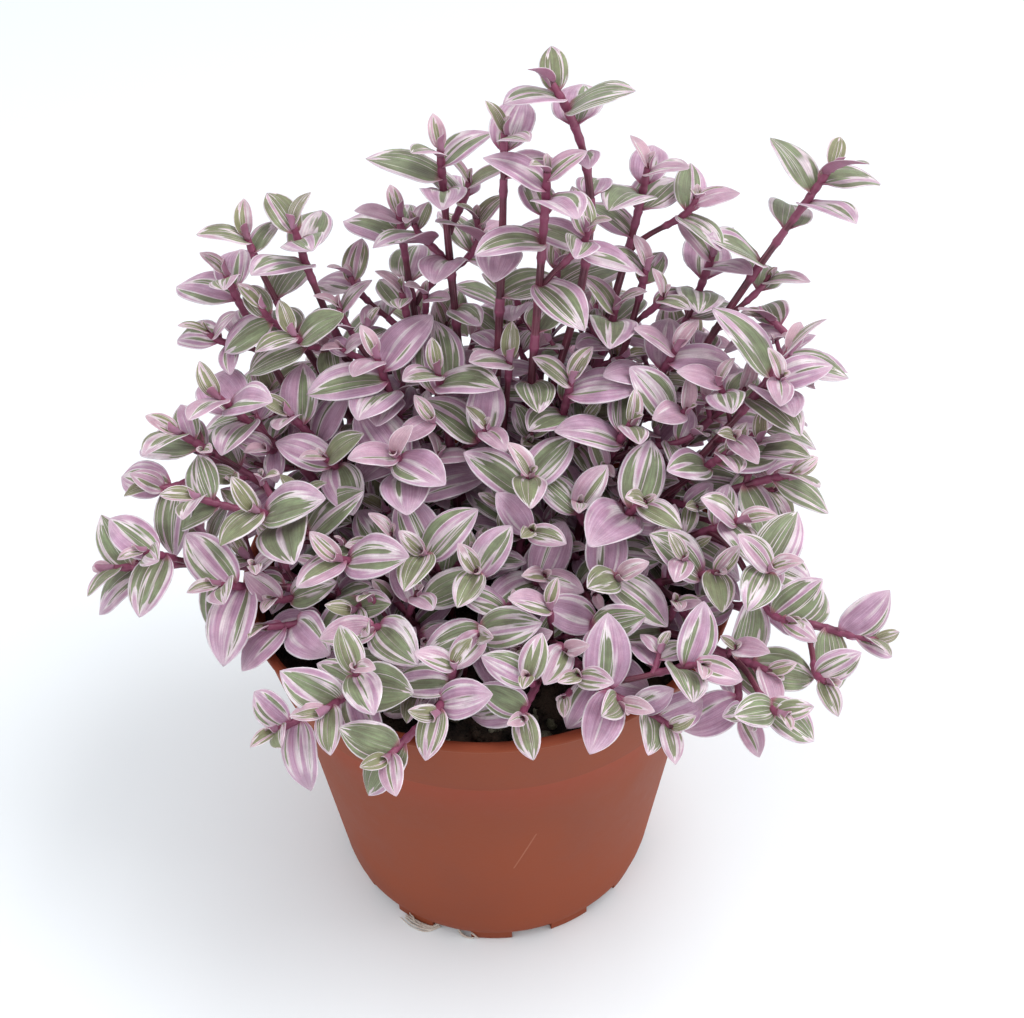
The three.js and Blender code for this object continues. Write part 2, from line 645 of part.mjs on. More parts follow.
function soil() {
  const rings = [0, 22, 42];
  const edge = innerRadius(SOIL_HEIGHT) - GAP;
  const profile = [
    [0, floorTop + GAP],
    [WALL_FOOT_RADIUS - WALL - GAP, floorTop + GAP],
    [WALL_TOP_RADIUS - WALL - GAP, bandFoot - 0.4],
    [innerRadius(bandFoot + 1.4) - GAP, bandFoot + 1.7],
    [edge, SOIL_HEIGHT],
    ...rings.reverse().map((r) => [r, SOIL_HEIGHT]),
  ];
  const points = profile.map(([r, z]) => new THREE.Vector2(r, z));
  const geometry = new THREE.LatheGeometry(points, ROUND_STEPS).rotateX(Math.PI / 2);
  const places = geometry.attributes.position;
  for (let n = 0; n < places.count; n += 1) {
    const [x, y, z] = [places.getX(n), places.getY(n), places.getZ(n)];
    if (z > SOIL_HEIGHT - 0.1) places.setZ(n, soilHeight(x, y));
  }
  let solid = solidOf(geometry);
  for (let stem = 0; stem < STEMS.length; stem += 1) solid = solid.subtract(hole(stem));
  return meshOf(solid, 'potting_soil', 0x2b211d, 0.95);
}

// ---------------------------------------------------------------- the plant in its pot

const plant = new THREE.Group();
plant.add(pot(), soil());
STEMS.forEach((_, stem) => plant.add(leafyStem(stem)));

export default plant;
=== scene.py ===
# %% [markdown]
# # A tradescantia in a nursery pot
#
# This lesson dresses a simple, measured model of a potted plant until it looks like the real one.
# The simple model, the frame, says where the pot, the soil and each leafy stem are. Here we give
# the pot its moulded rim and plastic, the soil its crumbs, and every stem its round stalk, its
# sheaths and its striped, folded leaves.
#
# The leaves are the hard part. There are more than a thousand, no two alike. None may float, and
# they should hardly ever cut through each other. We let them grow by a rule from a short table of
# shoot tips, so that each leaf starts on its stem and looks for a free place.

import itertools
import math

import bmesh
import bpy
import numpy as np
from mathutils import Matrix, Vector, noise


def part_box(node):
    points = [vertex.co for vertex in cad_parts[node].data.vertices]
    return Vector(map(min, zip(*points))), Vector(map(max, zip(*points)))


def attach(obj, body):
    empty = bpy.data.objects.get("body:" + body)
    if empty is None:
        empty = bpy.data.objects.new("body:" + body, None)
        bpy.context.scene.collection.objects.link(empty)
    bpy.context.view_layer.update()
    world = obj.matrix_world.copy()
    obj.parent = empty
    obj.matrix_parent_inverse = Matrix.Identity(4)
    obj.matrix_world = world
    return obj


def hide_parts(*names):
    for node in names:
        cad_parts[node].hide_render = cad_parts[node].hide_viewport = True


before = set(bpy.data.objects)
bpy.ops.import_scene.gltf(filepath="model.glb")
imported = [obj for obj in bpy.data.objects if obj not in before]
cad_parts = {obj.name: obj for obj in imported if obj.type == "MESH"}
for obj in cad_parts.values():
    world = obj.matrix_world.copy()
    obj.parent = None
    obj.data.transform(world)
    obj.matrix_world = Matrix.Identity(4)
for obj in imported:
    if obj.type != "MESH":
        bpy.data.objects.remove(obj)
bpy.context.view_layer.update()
MM = 0.001

# %% [markdown]
# ## The camera
#
# The picture looks down on the plant from arm's length, about 40 degrees below level, and the
# camera leans very slightly. It could be aimed at a target, but then the lean would be hard to
# set. So we place it with one matrix: first its place, then the turn from looking straight down
# to looking at the plant, and last the small lean about its own axis.

# %% The camera
CAMERA_PLACE = (5.8, -254.2, 331.5)  # millimetres
CAMERA_DIP = 40.3  # degrees below level
CAMERA_LEAN = -0.9  # degrees
FOCAL_LENGTH = 49.2  # millimetres, for a sensor 36 mm wide

eye = bpy.data.cameras.new("eye")
eye.lens = FOCAL_LENGTH
eye.sensor_width = 36.0
eye.clip_start = 0.01
camera = bpy.data.objects.new("eye", eye)
bpy.context.scene.collection.objects.link(camera)
place = Matrix.Translation(Vector(CAMERA_PLACE) * MM)
look = Matrix.Rotation(math.radians(90 - CAMERA_DIP), 4, "X")
lean = Matrix.Rotation(math.radians(CAMERA_LEAN), 4, "Z")
camera.matrix_world = place @ look @ lean
bpy.context.scene.camera = camera
print("The camera stands", round(Vector(CAMERA_PLACE).length), "mm from the foot of the pot")

# %% [markdown]
# ## Light and floor
#
# The plant stands on a white sweep in even light. A lamp alone would throw a hard shadow, so most
# of the light comes from a nearly white surrounding. A broad light, high and to the right, gives
# the soft shadow on the left, a faint one at the left keeps the dark side open, and a low one at
# the right brightens that side of the pot. The floor isn't part of the object.

# %% Light
SURROUNDING = 0.92  # the strength of the light from all around
SURROUNDING_WHITE = (0.97, 0.98, 1.0, 1)
LIT_MIDDLE = (0, 0, 0.1)  # metres
# Each light's name, its place and size in metres, and its power in watts.
SOFT_LIGHTS = [
    ("high_right", (0.55, -0.05, 1.2), 0.6, 7.5),
    ("high_left", (-0.8, -0.5, 0.9), 0.9, 3),
    ("right_side", (1.15, -0.45, 0.3), 0.7, 3.8),
]

bpy.context.scene.view_settings.view_transform = "Standard"
world = bpy.data.worlds.new("white_surrounding")
world.use_nodes = True
world.node_tree.nodes["Background"].inputs["Color"].default_value = SURROUNDING_WHITE
world.node_tree.nodes["Background"].inputs["Strength"].default_value = SURROUNDING
bpy.context.scene.world = world


def soft_light(name, place, size, power):
    """Hangs a square light that faces the middle of the plant."""
    light = bpy.data.lights.new(name, "AREA")
    light.size = size
    light.energy = power
    lamp = bpy.data.objects.new(name, light)
    bpy.context.scene.collection.objects.link(lamp)
    lamp.location = place
    towards = Vector(LIT_MIDDLE) - lamp.location
    lamp.rotation_euler = towards.to_track_quat("-Z", "Y").to_euler()


for light in SOFT_LIGHTS:
    soft_light(*light)

# %% Floor
FLOOR_WHITE = (0.82, 0.86, 0.885, 1)
FLOOR_REACH = 4  # metres, from the middle to each side

floor_mesh = bpy.data.meshes.new("white_sweep")
corners = [(x * FLOOR_REACH, y * FLOOR_REACH, 0) for x, y in ((-1, -1), (1, -1), (1, 1), (-1, 1))]
floor_mesh.from_pydata(corners, [], [(0, 1, 2, 3)])
floor = bpy.data.objects.new("white_sweep", floor_mesh)
bpy.context.scene.collection.objects.link(floor)
paper = bpy.data.materials.new("white_paper")
paper.use_nodes = True
paper_shader = paper.node_tree.nodes["Principled BSDF"]
paper_shader.inputs["Base Color"].default_value = FLOOR_WHITE
paper_shader.inputs["Roughness"].default_value = 0.85
floor_mesh.materials.append(paper)
print("The floor is", 2 * FLOOR_REACH, "m wide")

# %% [markdown]
# ## Wiring shaders
#
# A material is a small diagram of nodes. A few helpers keep the diagrams readable. The first
# makes a node and sets its inputs, where an input may be a number or another node's output, and
# the others use it for what comes up most: sums, blends, steps, noise and groups with named
# sockets.

# %% Helpers for shader nodes
SOCKET_KINDS = {"Color": "NodeSocketColor", "Value": "NodeSocketFloat"}


def add_node(tree, kind, inputs=None, **settings):
    """A node of the kind, with its settings, and its inputs set or joined."""
    made = tree.nodes.new("ShaderNode" + kind)
    for name, value in settings.items():
        setattr(made, name, value)
    for name, value in (inputs or {}).items():
        if isinstance(value, bpy.types.NodeSocket):
            tree.links.new(value, made.inputs[name])
        else:
            made.inputs[name].default_value = value
    return made


def maths(tree, operation, *values, clamp=False):
    """The result of a sum of one to three values."""
    inputs = dict(enumerate(values))
    return add_node(tree, "Math", inputs, operation=operation, use_clamp=clamp).outputs[0]


def blended(tree, share, first, second, blend_type="MIX"):
    """Two colours, mixed by a share. A Mix node's colour inputs are its sixth and seventh."""
    inputs = {0: share, 6: first, 7: second}
    return add_node(tree, "Mix", inputs, data_type="RGBA", blend_type=blend_type).outputs[2]


def stepped(tree, value, low, high):
    """0 below low, 1 above high, and smooth between."""
    inputs = {"Value": value, "From Min": low, "From Max": high}
    return add_node(tree, "MapRange", inputs, interpolation_type="SMOOTHSTEP").outputs[0]


def noise_at(tree, place, scale, detail):
    """Soft noise, from 0 to 1, at a place."""
    inputs = {"Vector": place, "Scale": scale, "Detail": detail}
    return add_node(tree, "TexNoise", inputs).outputs[0]


def read_vector(tree, name):
    """The three parts of a vector that a piece carries at its points."""
    carried = add_node(tree, "Attribute", attribute_name=name).outputs["Vector"]
    return add_node(tree, "SeparateXYZ", {"Vector": carried}).outputs


def new_group(name, inputs, outputs):
    """An empty node group with named sockets, as (its tree, its input node, its output node)."""
    tree = bpy.data.node_groups.new(name, "ShaderNodeTree")
    for label, kind, start in inputs:
        socket = tree.interface.new_socket(label, in_out="INPUT", socket_type=SOCKET_KINDS[kind])
        socket.default_value = start
    for label, kind in outputs:
        tree.interface.new_socket(label, in_out="OUTPUT", socket_type=SOCKET_KINDS[kind])
    return tree, tree.nodes.new("NodeGroupInput").outputs, tree.nodes.new("NodeGroupOutput").inputs


def use_group(tree, group, inputs):
    """The outputs of a group, placed in a material with its own values."""
    return add_node(tree, "Group", inputs, node_tree=group).outputs


def new_material(name, **constants):
    """A material with a Principled BSDF, and the constants set on its own sockets."""
    material = bpy.data.materials.new(name)
    material.use_nodes = True
    shader = material.node_tree.nodes["Principled BSDF"]
    for label, value in constants.items():
        shader.inputs[label.replace("_", " ")].default_value = value
    return material, material.node_tree, shader


print("Blender", bpy.app.version_string, "is ready to wire")

# %% [markdown]
# ## Two effects that every surface shares
#
# Nothing real is one flat colour. *Mottle* makes two colours drift into each other in soft
# patches with a finer speckle on top. *Fine relief* gives a height from two sizes of noise for a
# Bump node. Each is a group, built once, and each material sets its scale and strength.

# %% The group for mottle
mottle, given, result = new_group(
    "Mottle",
    [
        ("Patch size", "Value", 0.02),
        ("Speckle", "Value", 0.2),
        ("Light", "Color", (0.8, 0.8, 0.8, 1)),
        ("Dark", "Color", (0.2, 0.2, 0.2, 1)),
    ],
    [("Colour", "Color"), ("Mask", "Value")],
)
spot = add_node(mottle, "TexCoord").outputs["Object"]
fineness = maths(mottle, "DIVIDE", 1.0, given["Patch size"])
patches = noise_at(mottle, spot, fineness, 3.0)
specks = noise_at(mottle, spot, maths(mottle, "MULTIPLY", fineness, 14.0), 1.0)
speckled = maths(mottle, "MULTIPLY", maths(mottle, "SUBTRACT", specks, 0.5), given["Speckle"])
mask = maths(mottle, "ADD", stepped(mottle, patches, 0.3, 0.7), speckled, clamp=True)
mottle.links.new(blended(mottle, mask, given["Dark"], given["Light"]), result["Colour"])
mottle.links.new(mask, result["Mask"])


def mottled(tree, patch, speckle, light, dark):
    """Two colours that drift into each other in patches of a size in metres."""
    inputs = {"Patch size": patch, "Speckle": speckle, "Light": light, "Dark": dark}
    return use_group(tree, mottle, inputs)


print("Mottle takes", len(mottle.nodes), "nodes")

# %% The group for fine relief
RIB_SHARE = 0.35

relief, given, result = new_group(
    "Fine relief",
    [("Grain size", "Value", 0.001), ("Roughness of grain", "Value", 0.5)],
    [("Height", "Value")],
)
spot = add_node(relief, "TexCoord").outputs["Object"]
fineness = maths(relief, "DIVIDE", 1.0, given["Grain size"])
coarse = noise_at(relief, spot, fineness, 2.0)
fine = noise_at(relief, spot, maths(relief, "MULTIPLY", fineness, 5.0), 1.0)
fine = maths(relief, "MULTIPLY", fine, given["Roughness of grain"])
relief.links.new(maths(relief, "ADD", coarse, fine), result["Height"])


def add_relief(tree, shader, grain, strength, distance=0.0002, rough=0.5, ribs=None):
    """Gives a surface grain of a size in metres, and ribs on top if there are any."""
    height = use_group(tree, relief, {"Grain size": grain, "Roughness of grain": rough})["Height"]
    if ribs is not None:
        height = maths(tree, "MULTIPLY_ADD", ribs, RIB_SHARE, height)
    bump = add_node(tree, "Bump", {"Strength": strength, "Distance": distance, "Height": height})
    tree.links.new(bump.outputs["Normal"], shader.inputs["Normal"])


print("Groups:", [group.name for group in bpy.data.node_groups])

# %% [markdown]
# ## The pot
#
# A nursery pot is thin plastic, moulded in one shot: a tapered wall, a wider band with a rolled
# bead at the rim, a floor with drain holes, and a ring of feet with notches between them so that
# water can run out. It could be carved from a solid, but it is a turned shape, so we turn a
# profile round the axis, and then cut the holes and join the feet with exact Booleans.

# %% The pot's sizes
POT_HEIGHT = 100.0  # millimetres, as are all the lengths below
POT_TOP_RADIUS = 60.0
BAND_HEIGHT = 20.0
BAND_FOOT_RADIUS = 55.4
WALL_TOP_RADIUS = 53.2
WALL_FOOT_RADIUS = 43.4
WALL = 1.2
BEAD = 1.1
FLOOR_UNDERSIDE = 3.4
FOOT_COUNT = 12
FOOT_TURN = -2  # degrees
FOOT_SPAN = 15  # degrees
FOOT_RADII = (36.0, 42.0)
DRAIN_COUNT = 6
DRAIN_RADIUS = 4.0
DRAIN_CIRCLE = 28.0
CUTTER_PAST = 1.4  # how far the holes' cutters pass the floor
TURNING_STEPS = 144
SHARPEST = 40  # degrees between two faces that still look like one smooth surface

BAND_FOOT = POT_HEIGHT - BAND_HEIGHT
FLOOR_TOP = FLOOR_UNDERSIDE + WALL
POT_PROFILE = [
    (0, FLOOR_UNDERSIDE),
    (40.4, FLOOR_UNDERSIDE),
    (41.8, 3.5),
    (42.7, 4.1),
    (43.3, 5.2),
    (43.75, 7.5),
    (44.6, 14),
    (WALL_TOP_RADIUS - 0.05, BAND_FOOT - 1.3),
    (WALL_TOP_RADIUS + 0.3, BAND_FOOT - 0.9),
    (54.7, BAND_FOOT - 0.45),
    (55.2, BAND_FOOT - 0.2),
    (BAND_FOOT_RADIUS, BAND_FOOT + 0.3),
    (POT_TOP_RADIUS - BEAD - 0.1, POT_HEIGHT - 2.9),
    (POT_TOP_RADIUS - BEAD + 0.15, POT_HEIGHT - 2.4),
    (POT_TOP_RADIUS - 0.35, POT_HEIGHT - 1.95),
    (POT_TOP_RADIUS, POT_HEIGHT - 1.35),
    (POT_TOP_RADIUS, POT_HEIGHT - 0.8),
    (POT_TOP_RADIUS - 0.3, POT_HEIGHT - 0.25),
    (POT_TOP_RADIUS - 0.85, POT_HEIGHT),
    (POT_TOP_RADIUS - 1.6, POT_HEIGHT - 0.1),
    (POT_TOP_RADIUS - BEAD - WALL, POT_HEIGHT - 0.6),
    (54.6, BAND_FOOT + 1.6),
    (WALL_TOP_RADIUS - WALL, BAND_FOOT - 0.6),
    (WALL_FOOT_RADIUS - WALL + 0.3, FLOOR_TOP + 2),
    (WALL_FOOT_RADIUS - WALL - 1.2, FLOOR_TOP),
    (0, FLOOR_TOP),
]
print("The pot's profile has", len(POT_PROFILE), "points")


# %% Shapes from points and faces
def new_piece(name, points, faces):
    """An object made of points in millimetres and faces, linked to the scene."""
    mesh = bpy.data.meshes.new(name)
    mesh.from_pydata((np.asarray(points, float) * MM).tolist(), [], faces)
    mesh.shade_smooth()
    piece = bpy.data.objects.new(name, mesh)
    bpy.context.scene.collection.objects.link(piece)
    return piece


def polar(bearing, reach, height):
    """A point, from its bearing in degrees, its distance from the axis and its height."""
    t = math.radians(bearing)
    return np.array([reach * math.cos(t), reach * math.sin(t), height])


def turned_shape(profile, steps):
    """Points and faces of a profile turned round Z. Its two ends lie on the axis."""
    turns = np.arange(steps) * 2 * np.pi / steps
    points = [(0, 0, profile[0][1])]
    for radius, height in profile[1:-1]:
        points += [(radius * math.cos(t), radius * math.sin(t), height) for t in turns]
    points.append((0, 0, profile[-1][1]))
    last = len(points) - 1
    faces = []
    for n in range(steps):
        after = (n + 1) % steps
        faces.append((0, 1 + after, 1 + n))
        for ring in range(len(profile) - 3):
            low, high = 1 + ring * steps, 1 + (ring + 1) * steps
            faces.append((low + n, low + after, high + after, high + n))
        top = 1 + (len(profile) - 3) * steps
        faces.append((top + n, top + after, last))
    return points, faces


def strips(rings, around):
    """The faces between rings of points that follow each other."""
    faces = []
    for n in range(rings - 1):
        for k in range(around):
            a, b = n * around + k, n * around + (k + 1) % around
            faces.append((a, b, b + around, a + around))
    return faces


def gathered(shapes):
    """Several shapes' points and faces as one."""
    points, faces = [], []
    for more_points, more_faces in shapes:
        first = len(points)
        points += list(more_points)
        faces += [tuple(first + n for n in face) for face in more_faces]
    return points, faces


print("A ring of 8 points joined to the next has", len(strips(2, 8)), "faces")


# %% Cutting, joining and the blocks of the feet
def apply_modifiers(piece):
    """Bakes a piece's modifiers into its mesh."""
    shaped = piece.evaluated_get(bpy.context.evaluated_depsgraph_get())
    mesh = bpy.data.meshes.new_from_object(shaped)
    piece.modifiers.clear()
    piece.data = mesh


def cut_or_join(piece, other, operation):
    """Cuts another closed shape out of a piece, or joins it on, and removes the other."""
    step = piece.modifiers.new(operation, "BOOLEAN")
    step.operation = operation
    step.solver = "EXACT"
    step.object = other
    bpy.context.view_layer.update()
    apply_modifiers(piece)
    bpy.data.objects.remove(other)


def sector(inner, outer, middle, span, low, high, steps=6):
    """Points and faces of a block between two radii, two bearings and two heights."""
    section = [(inner, low), (outer - 0.3, low), (outer, low + 0.5), (outer, high), (inner, high)]
    bearings = [middle + span * (n / steps - 0.5) for n in range(steps + 1)]
    points = [polar(bearing, *corner) for bearing in bearings for corner in section]
    faces = [face[::-1] for face in strips(steps + 1, len(section))]
    faces.append((0, 1, 2, 3, 4))
    faces.append(tuple(steps * len(section) + k for k in (4, 3, 2, 1, 0)))
    return points, faces


print("A foot's block has", len(sector(*FOOT_RADII, 0, FOOT_SPAN, 0, 1)[1]), "faces")

# %% The pot
pot = new_piece("nursery_pot", *turned_shape(POT_PROFILE, TURNING_STEPS))
below, above = FLOOR_UNDERSIDE - CUTTER_PAST, FLOOR_TOP + CUTTER_PAST
round_hole = [(0, below), (DRAIN_RADIUS, below), (DRAIN_RADIUS, above), (0, above)]
points, faces = turned_shape(round_hole, 24)
bearings = [360 / DRAIN_COUNT * (n + 0.5) for n in range(DRAIN_COUNT)]
drains = [(np.array(points) + polar(bearing, DRAIN_CIRCLE, 0), faces) for bearing in bearings]
cut_or_join(pot, new_piece("drains", *gathered(drains)), "DIFFERENCE")
feet = [
    sector(*FOOT_RADII, FOOT_TURN + 360 / FOOT_COUNT * n, FOOT_SPAN, 0, FLOOR_UNDERSIDE + WALL / 2)
    for n in range(FOOT_COUNT)
]
cut_or_join(pot, new_piece("feet", *gathered(feet)), "UNION")
pot.data.name = "nursery_pot"
pot.data.shade_smooth()
pot.data.set_sharp_from_angle(angle=math.radians(SHARPEST))
print("The pot has", len(pot.data.polygons), "faces and", FOOT_COUNT, "feet")

# %% [markdown]
# ## Moulded plastic
#
# The plastic is a dull terracotta brown, coloured all through, with a soft broad shine. Up close
# it has a faint mottle and a very fine grain from the mould. The rim's lip is a little deeper in
# tone, and the wall inside is painted brighter and redder, as painted light falling into the pot.
# One material does it all: it finds the lip and the inside by their place, from height and
# distance from the axis. One thin pale scratch shows on the front. It is the nearest distance to
# a short line, as seen from the front.

# %% The pot's plastic
PLASTIC_LIGHT = (0.246, 0.057, 0.025, 1)
PLASTIC_DARK = (0.218, 0.049, 0.021, 1)
LIP_RED = (0.2, 0.042, 0.02, 1)
# Painted light: the wall inside is brighter and redder than the plastic it is made of.
INSIDE_RED_PAINTED_LIGHT = (0.3, 0.05, 0.025, 1)

plastic, tree, shader = new_material("terracotta_plastic", Specular_IOR_Level=0.12)
tone = mottled(tree, 0.03, 0.5, PLASTIC_LIGHT, PLASTIC_DARK)
spot = add_node(tree, "TexCoord").outputs["Object"]
parts = add_node(tree, "SeparateXYZ", {"Vector": spot})
flat = add_node(tree, "CombineXYZ", {"X": parts.outputs["X"], "Y": parts.outputs["Y"]}).outputs[0]
reach = add_node(tree, "VectorMath", {0: flat}, operation="LENGTH").outputs["Value"]
height = parts.outputs["Z"]
lip = stepped(tree, height, (POT_HEIGHT - 1.1) * MM, (POT_HEIGHT - 0.5) * MM)
taper = (BAND_FOOT_RADIUS - WALL_FOOT_RADIUS) / BAND_FOOT
wall_middle = maths(tree, "MULTIPLY_ADD", height, taper, (WALL_FOOT_RADIUS - 1.7) * MM)
depth = maths(tree, "SUBTRACT", wall_middle, reach)
# Where the wall faces inwards: the mask for the painted light inside the pot.
inside = stepped(tree, depth, 0.0, 0.0006)
inside = maths(tree, "MULTIPLY", inside, stepped(tree, height, 0.0045, 0.006))
print("The wall is red inside from", round(FLOOR_TOP, 1), "mm up")

# %% The scratch, and joining the plastic's parts
SCRATCH_PALE = (0.5, 0.24, 0.16, 1)
SCRATCH_FROM = (4.9, 0, 40.1)  # millimetres, seen from the front
SCRATCH_TO = (10.4, 0, 55.2)
SCRATCH_WIDTH = 0.1
SCRATCH_EDGE = 0.12
SCRATCH_STRENGTH = 0.3

along_scratch = Vector(SCRATCH_TO) - Vector(SCRATCH_FROM)
scratch_length = along_scratch.length * MM
seen = add_node(tree, "CombineXYZ", {"X": parts.outputs["X"], "Z": height}).outputs[0]
from_start = add_node(
    tree, "VectorMath", {0: seen, 1: Vector(SCRATCH_FROM) * MM}, operation="SUBTRACT"
).outputs[0]
direction = along_scratch.normalized()
walked = add_node(tree, "VectorMath", {0: from_start, 1: direction}, operation="DOT_PRODUCT")
walked = walked.outputs["Value"]
within = add_node(tree, "Clamp", {"Value": walked, "Min": 0.0, "Max": scratch_length}).outputs[0]
nearest = add_node(tree, "VectorMath", {0: direction, "Scale": within}, operation="SCALE")
nearest = nearest.outputs[0]
off = add_node(tree, "VectorMath", {0: from_start, 1: nearest}, operation="DISTANCE")
line = stepped(tree, off.outputs["Value"], (SCRATCH_WIDTH + SCRATCH_EDGE) * MM, SCRATCH_WIDTH * MM)
at_front = maths(tree, "LESS_THAN", parts.outputs["Y"], 0.0)
line = maths(tree, "MULTIPLY", line, maths(tree, "MULTIPLY", at_front, SCRATCH_STRENGTH))
colour = blended(tree, line, tone["Colour"], SCRATCH_PALE)
# Painted light inside the pot: the inner wall takes a brighter, redder colour.
colour = blended(tree, inside, colour, INSIDE_RED_PAINTED_LIGHT)
colour = blended(tree, maths(tree, "MULTIPLY", lip, 0.6), colour, LIP_RED)
tree.links.new(colour, shader.inputs["Base Color"])
rough = maths(tree, "MULTIPLY_ADD", tone["Mask"], 0.12, 0.56)
tree.links.new(rough, shader.inputs["Roughness"])
add_relief(tree, shader, 0.0009, 0.1)
pot.data.materials.clear()
pot.data.materials.append(plastic)
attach(pot, "root")
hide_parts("pot")
print("Scratch:", round(scratch_length / MM, 1), "mm long")

# %% [markdown]
# ## Potting soil
#
# Peat is a heap of dark crumbs, so a flat brown disc would never do. The body of the soil is
# turned like the pot, but its top is a fine grid raised by fractal noise. Then loose crumbs and
# some grains of pale grit are strewn over it and pressed half in. Chance comes from a seeded
# generator, so the heap is the same every time. A few coarse grains that lie bare at the front
# rim are placed one by one.

# %% The soil's shape
SOIL_HEIGHT = 90.0
SOIL_CROWN = 2.0
GAP = 0.3
SOIL_TURNS = 200
SOIL_RINGS = 62
CROWN_FALL = 3100  # the square of the distance over which the crown falls away
LUMP = 1.1  # the height of the soil's lumps
LUMP_WIDTH = 2.6


def outer_radius(z):
    """The pot's outer radius at a height."""
    up = (z - BAND_FOOT) / BAND_HEIGHT
    band = BAND_FOOT_RADIUS + (POT_TOP_RADIUS - BEAD - BAND_FOOT_RADIUS) * up
    wall = WALL_FOOT_RADIUS + (WALL_TOP_RADIUS - WALL_FOOT_RADIUS) * (z - 5) / (BAND_FOOT - 6)
    return np.where(z > BAND_FOOT, band, wall)


def inner_radius(z):
    """The pot's inner radius at a height."""
    return outer_radius(z) - WALL


def soil_height(x, y):
    """The height of the soil's smooth surface."""
    crown = SOIL_CROWN * (1 - (x * x + y * y) / CROWN_FALL)
    return SOIL_HEIGHT + crown + 0.5 * np.sin(0.31 * x + 1) * np.cos(0.27 * y)


def crumbly(x, y):
    """The height of the soil's real surface, with its lumps."""
    place = Vector((x / LUMP_WIDTH, y / LUMP_WIDTH, 0))
    lumps = noise.fractal(place, 0.9, 2.1, 4, noise_basis="PERLIN_ORIGINAL")
    return float(soil_height(x, y)) + LUMP * lumps


soil_edge = float(inner_radius(SOIL_HEIGHT)) - GAP
sides = [(0, FLOOR_TOP + GAP), (WALL_FOOT_RADIUS - WALL - 1.4, FLOOR_TOP + GAP)]
sides += [(WALL_TOP_RADIUS - WALL - GAP, BAND_FOOT - 2), (soil_edge - 0.3, SOIL_HEIGHT - 4)]
top = [(soil_edge * (1 - n / SOIL_RINGS), SOIL_HEIGHT) for n in range(SOIL_RINGS + 1)]
points, faces = turned_shape(sides + top, SOIL_TURNS)
first_of_top = 1 + (len(sides) - 1) * SOIL_TURNS
points = [
    (x, y, crumbly(x, y)) if n >= first_of_top else (x, y, z) for n, (x, y, z) in enumerate(points)
]
soil = new_piece("peat", points, faces)
print("The soil has", len(faces), "faces")

# %% Crumbs and grit
CRUMBS = 1500
GRAINS = 90
# Coarse grains that lie bare at the front rim, as places across and outwards and sizes.
BARE_GRAINS = [(2, -46.2, 1.9), (-8, -43, 1.7), (14, -45.5, 1.6), (-22, -39, 1.8)]
SEED = 11
strewn = np.random.default_rng(SEED)


def lump_shape(detail):
    """A round lump of about the given detail, as unit points and faces."""
    shaper = bmesh.new()
    bmesh.ops.create_icosphere(shaper, subdivisions=detail, radius=1.0)
    points = np.array([v.co[:] for v in shaper.verts])
    faces = [tuple(v.index for v in f.verts) for f in shaper.faces]
    shaper.free()
    return points, faces


def strew(name, count, detail, smallest, largest, sunk, placed=()):
    """A piece made of lumps, scattered over the soil and pressed into it, and some placed."""
    round_points, round_faces = lump_shape(detail)
    shapes = []
    for n in range(count + len(placed)):
        size = smallest + (largest - smallest) * strewn.random() ** 2
        bearing = 2 * np.pi * strewn.random()
        reach = (soil_edge - 1.2 * size) * strewn.random() ** 0.5
        x, y = reach * math.cos(bearing), reach * math.sin(bearing)
        if n >= count:
            x, y, size = placed[n - count]
        squash = strewn.uniform(0.55, 1.0, 3) * size
        knobs = 1 + 0.22 * strewn.standard_normal(len(round_points))[:, None].clip(-1.5, 1.5)
        turn = Matrix.Rotation(strewn.random() * 6.3, 3, Vector(strewn.standard_normal(3)))
        lump = (round_points * knobs * squash) @ np.array(turn).T
        lump += (x, y, crumbly(x, y) + size * sunk)
        shapes.append((lump.tolist(), round_faces))
    return new_piece(name, *gathered(shapes))


crumbs = strew("peat_crumbs", CRUMBS, 1, smallest=0.35, largest=1.6, sunk=0.25)
grit = strew("pale_grit", GRAINS, 2, smallest=0.6, largest=1.9, sunk=0.35, placed=BARE_GRAINS)
print(CRUMBS, "crumbs and", GRAINS + len(BARE_GRAINS), "grains of grit lie on the soil")

# %% [markdown]
# ## The look of peat and grit
#
# Peat is nearly black, with browner patches where it is dry, and it doesn't shine. The grit is
# pale olive grey, a little lighter on some grains. A photograph of soil could be wrapped on, but
# noise looks right from every side and at every size, so both use the shared groups, with
# stronger relief than the plastic.

# %% Peat and grit materials
PEAT_DRY = (0.055, 0.036, 0.025, 1)
PEAT_DAMP = (0.008, 0.006, 0.005, 1)
GRIT_LIGHT = (0.34, 0.33, 0.24, 1)
GRIT_DARK = (0.1, 0.1, 0.06, 1)


def earthy(name, patch, light, dark, grain_size):
    """A dull, rough material from the two shared groups."""
    material, tree, shader = new_material(name, Roughness=0.92, Specular_IOR_Level=0.25)
    tone = mottled(tree, patch, 1.2, light, dark)
    tree.links.new(tone["Colour"], shader.inputs["Base Color"])
    add_relief(tree, shader, grain_size, 0.8, distance=0.0006, rough=0.9)
    return material


soil.data.materials.append(earthy("peat", 0.006, PEAT_DRY, PEAT_DAMP, 0.0011))
crumbs.data.materials.append(soil.data.materials[0])
grit.data.materials.append(earthy("grit", 0.005, GRIT_LIGHT, GRIT_DARK, 0.0006))
for piece in (soil, crumbs, grit):
    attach(piece, "root")
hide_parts("potting_soil")
print("Materials:", [material.name for material in bpy.data.materials])

# %% [markdown]
# ## Roots at the feet
#
# Where the pot has stood a while, fine pale roots find the drain holes and come out at a notch
# between the feet. A drawn line has no body, so each is a thin tube: we give it a few places to
# pass, as bearing, reach and height, draw a smooth line through them and loft the tube along it,
# thinner towards its end.

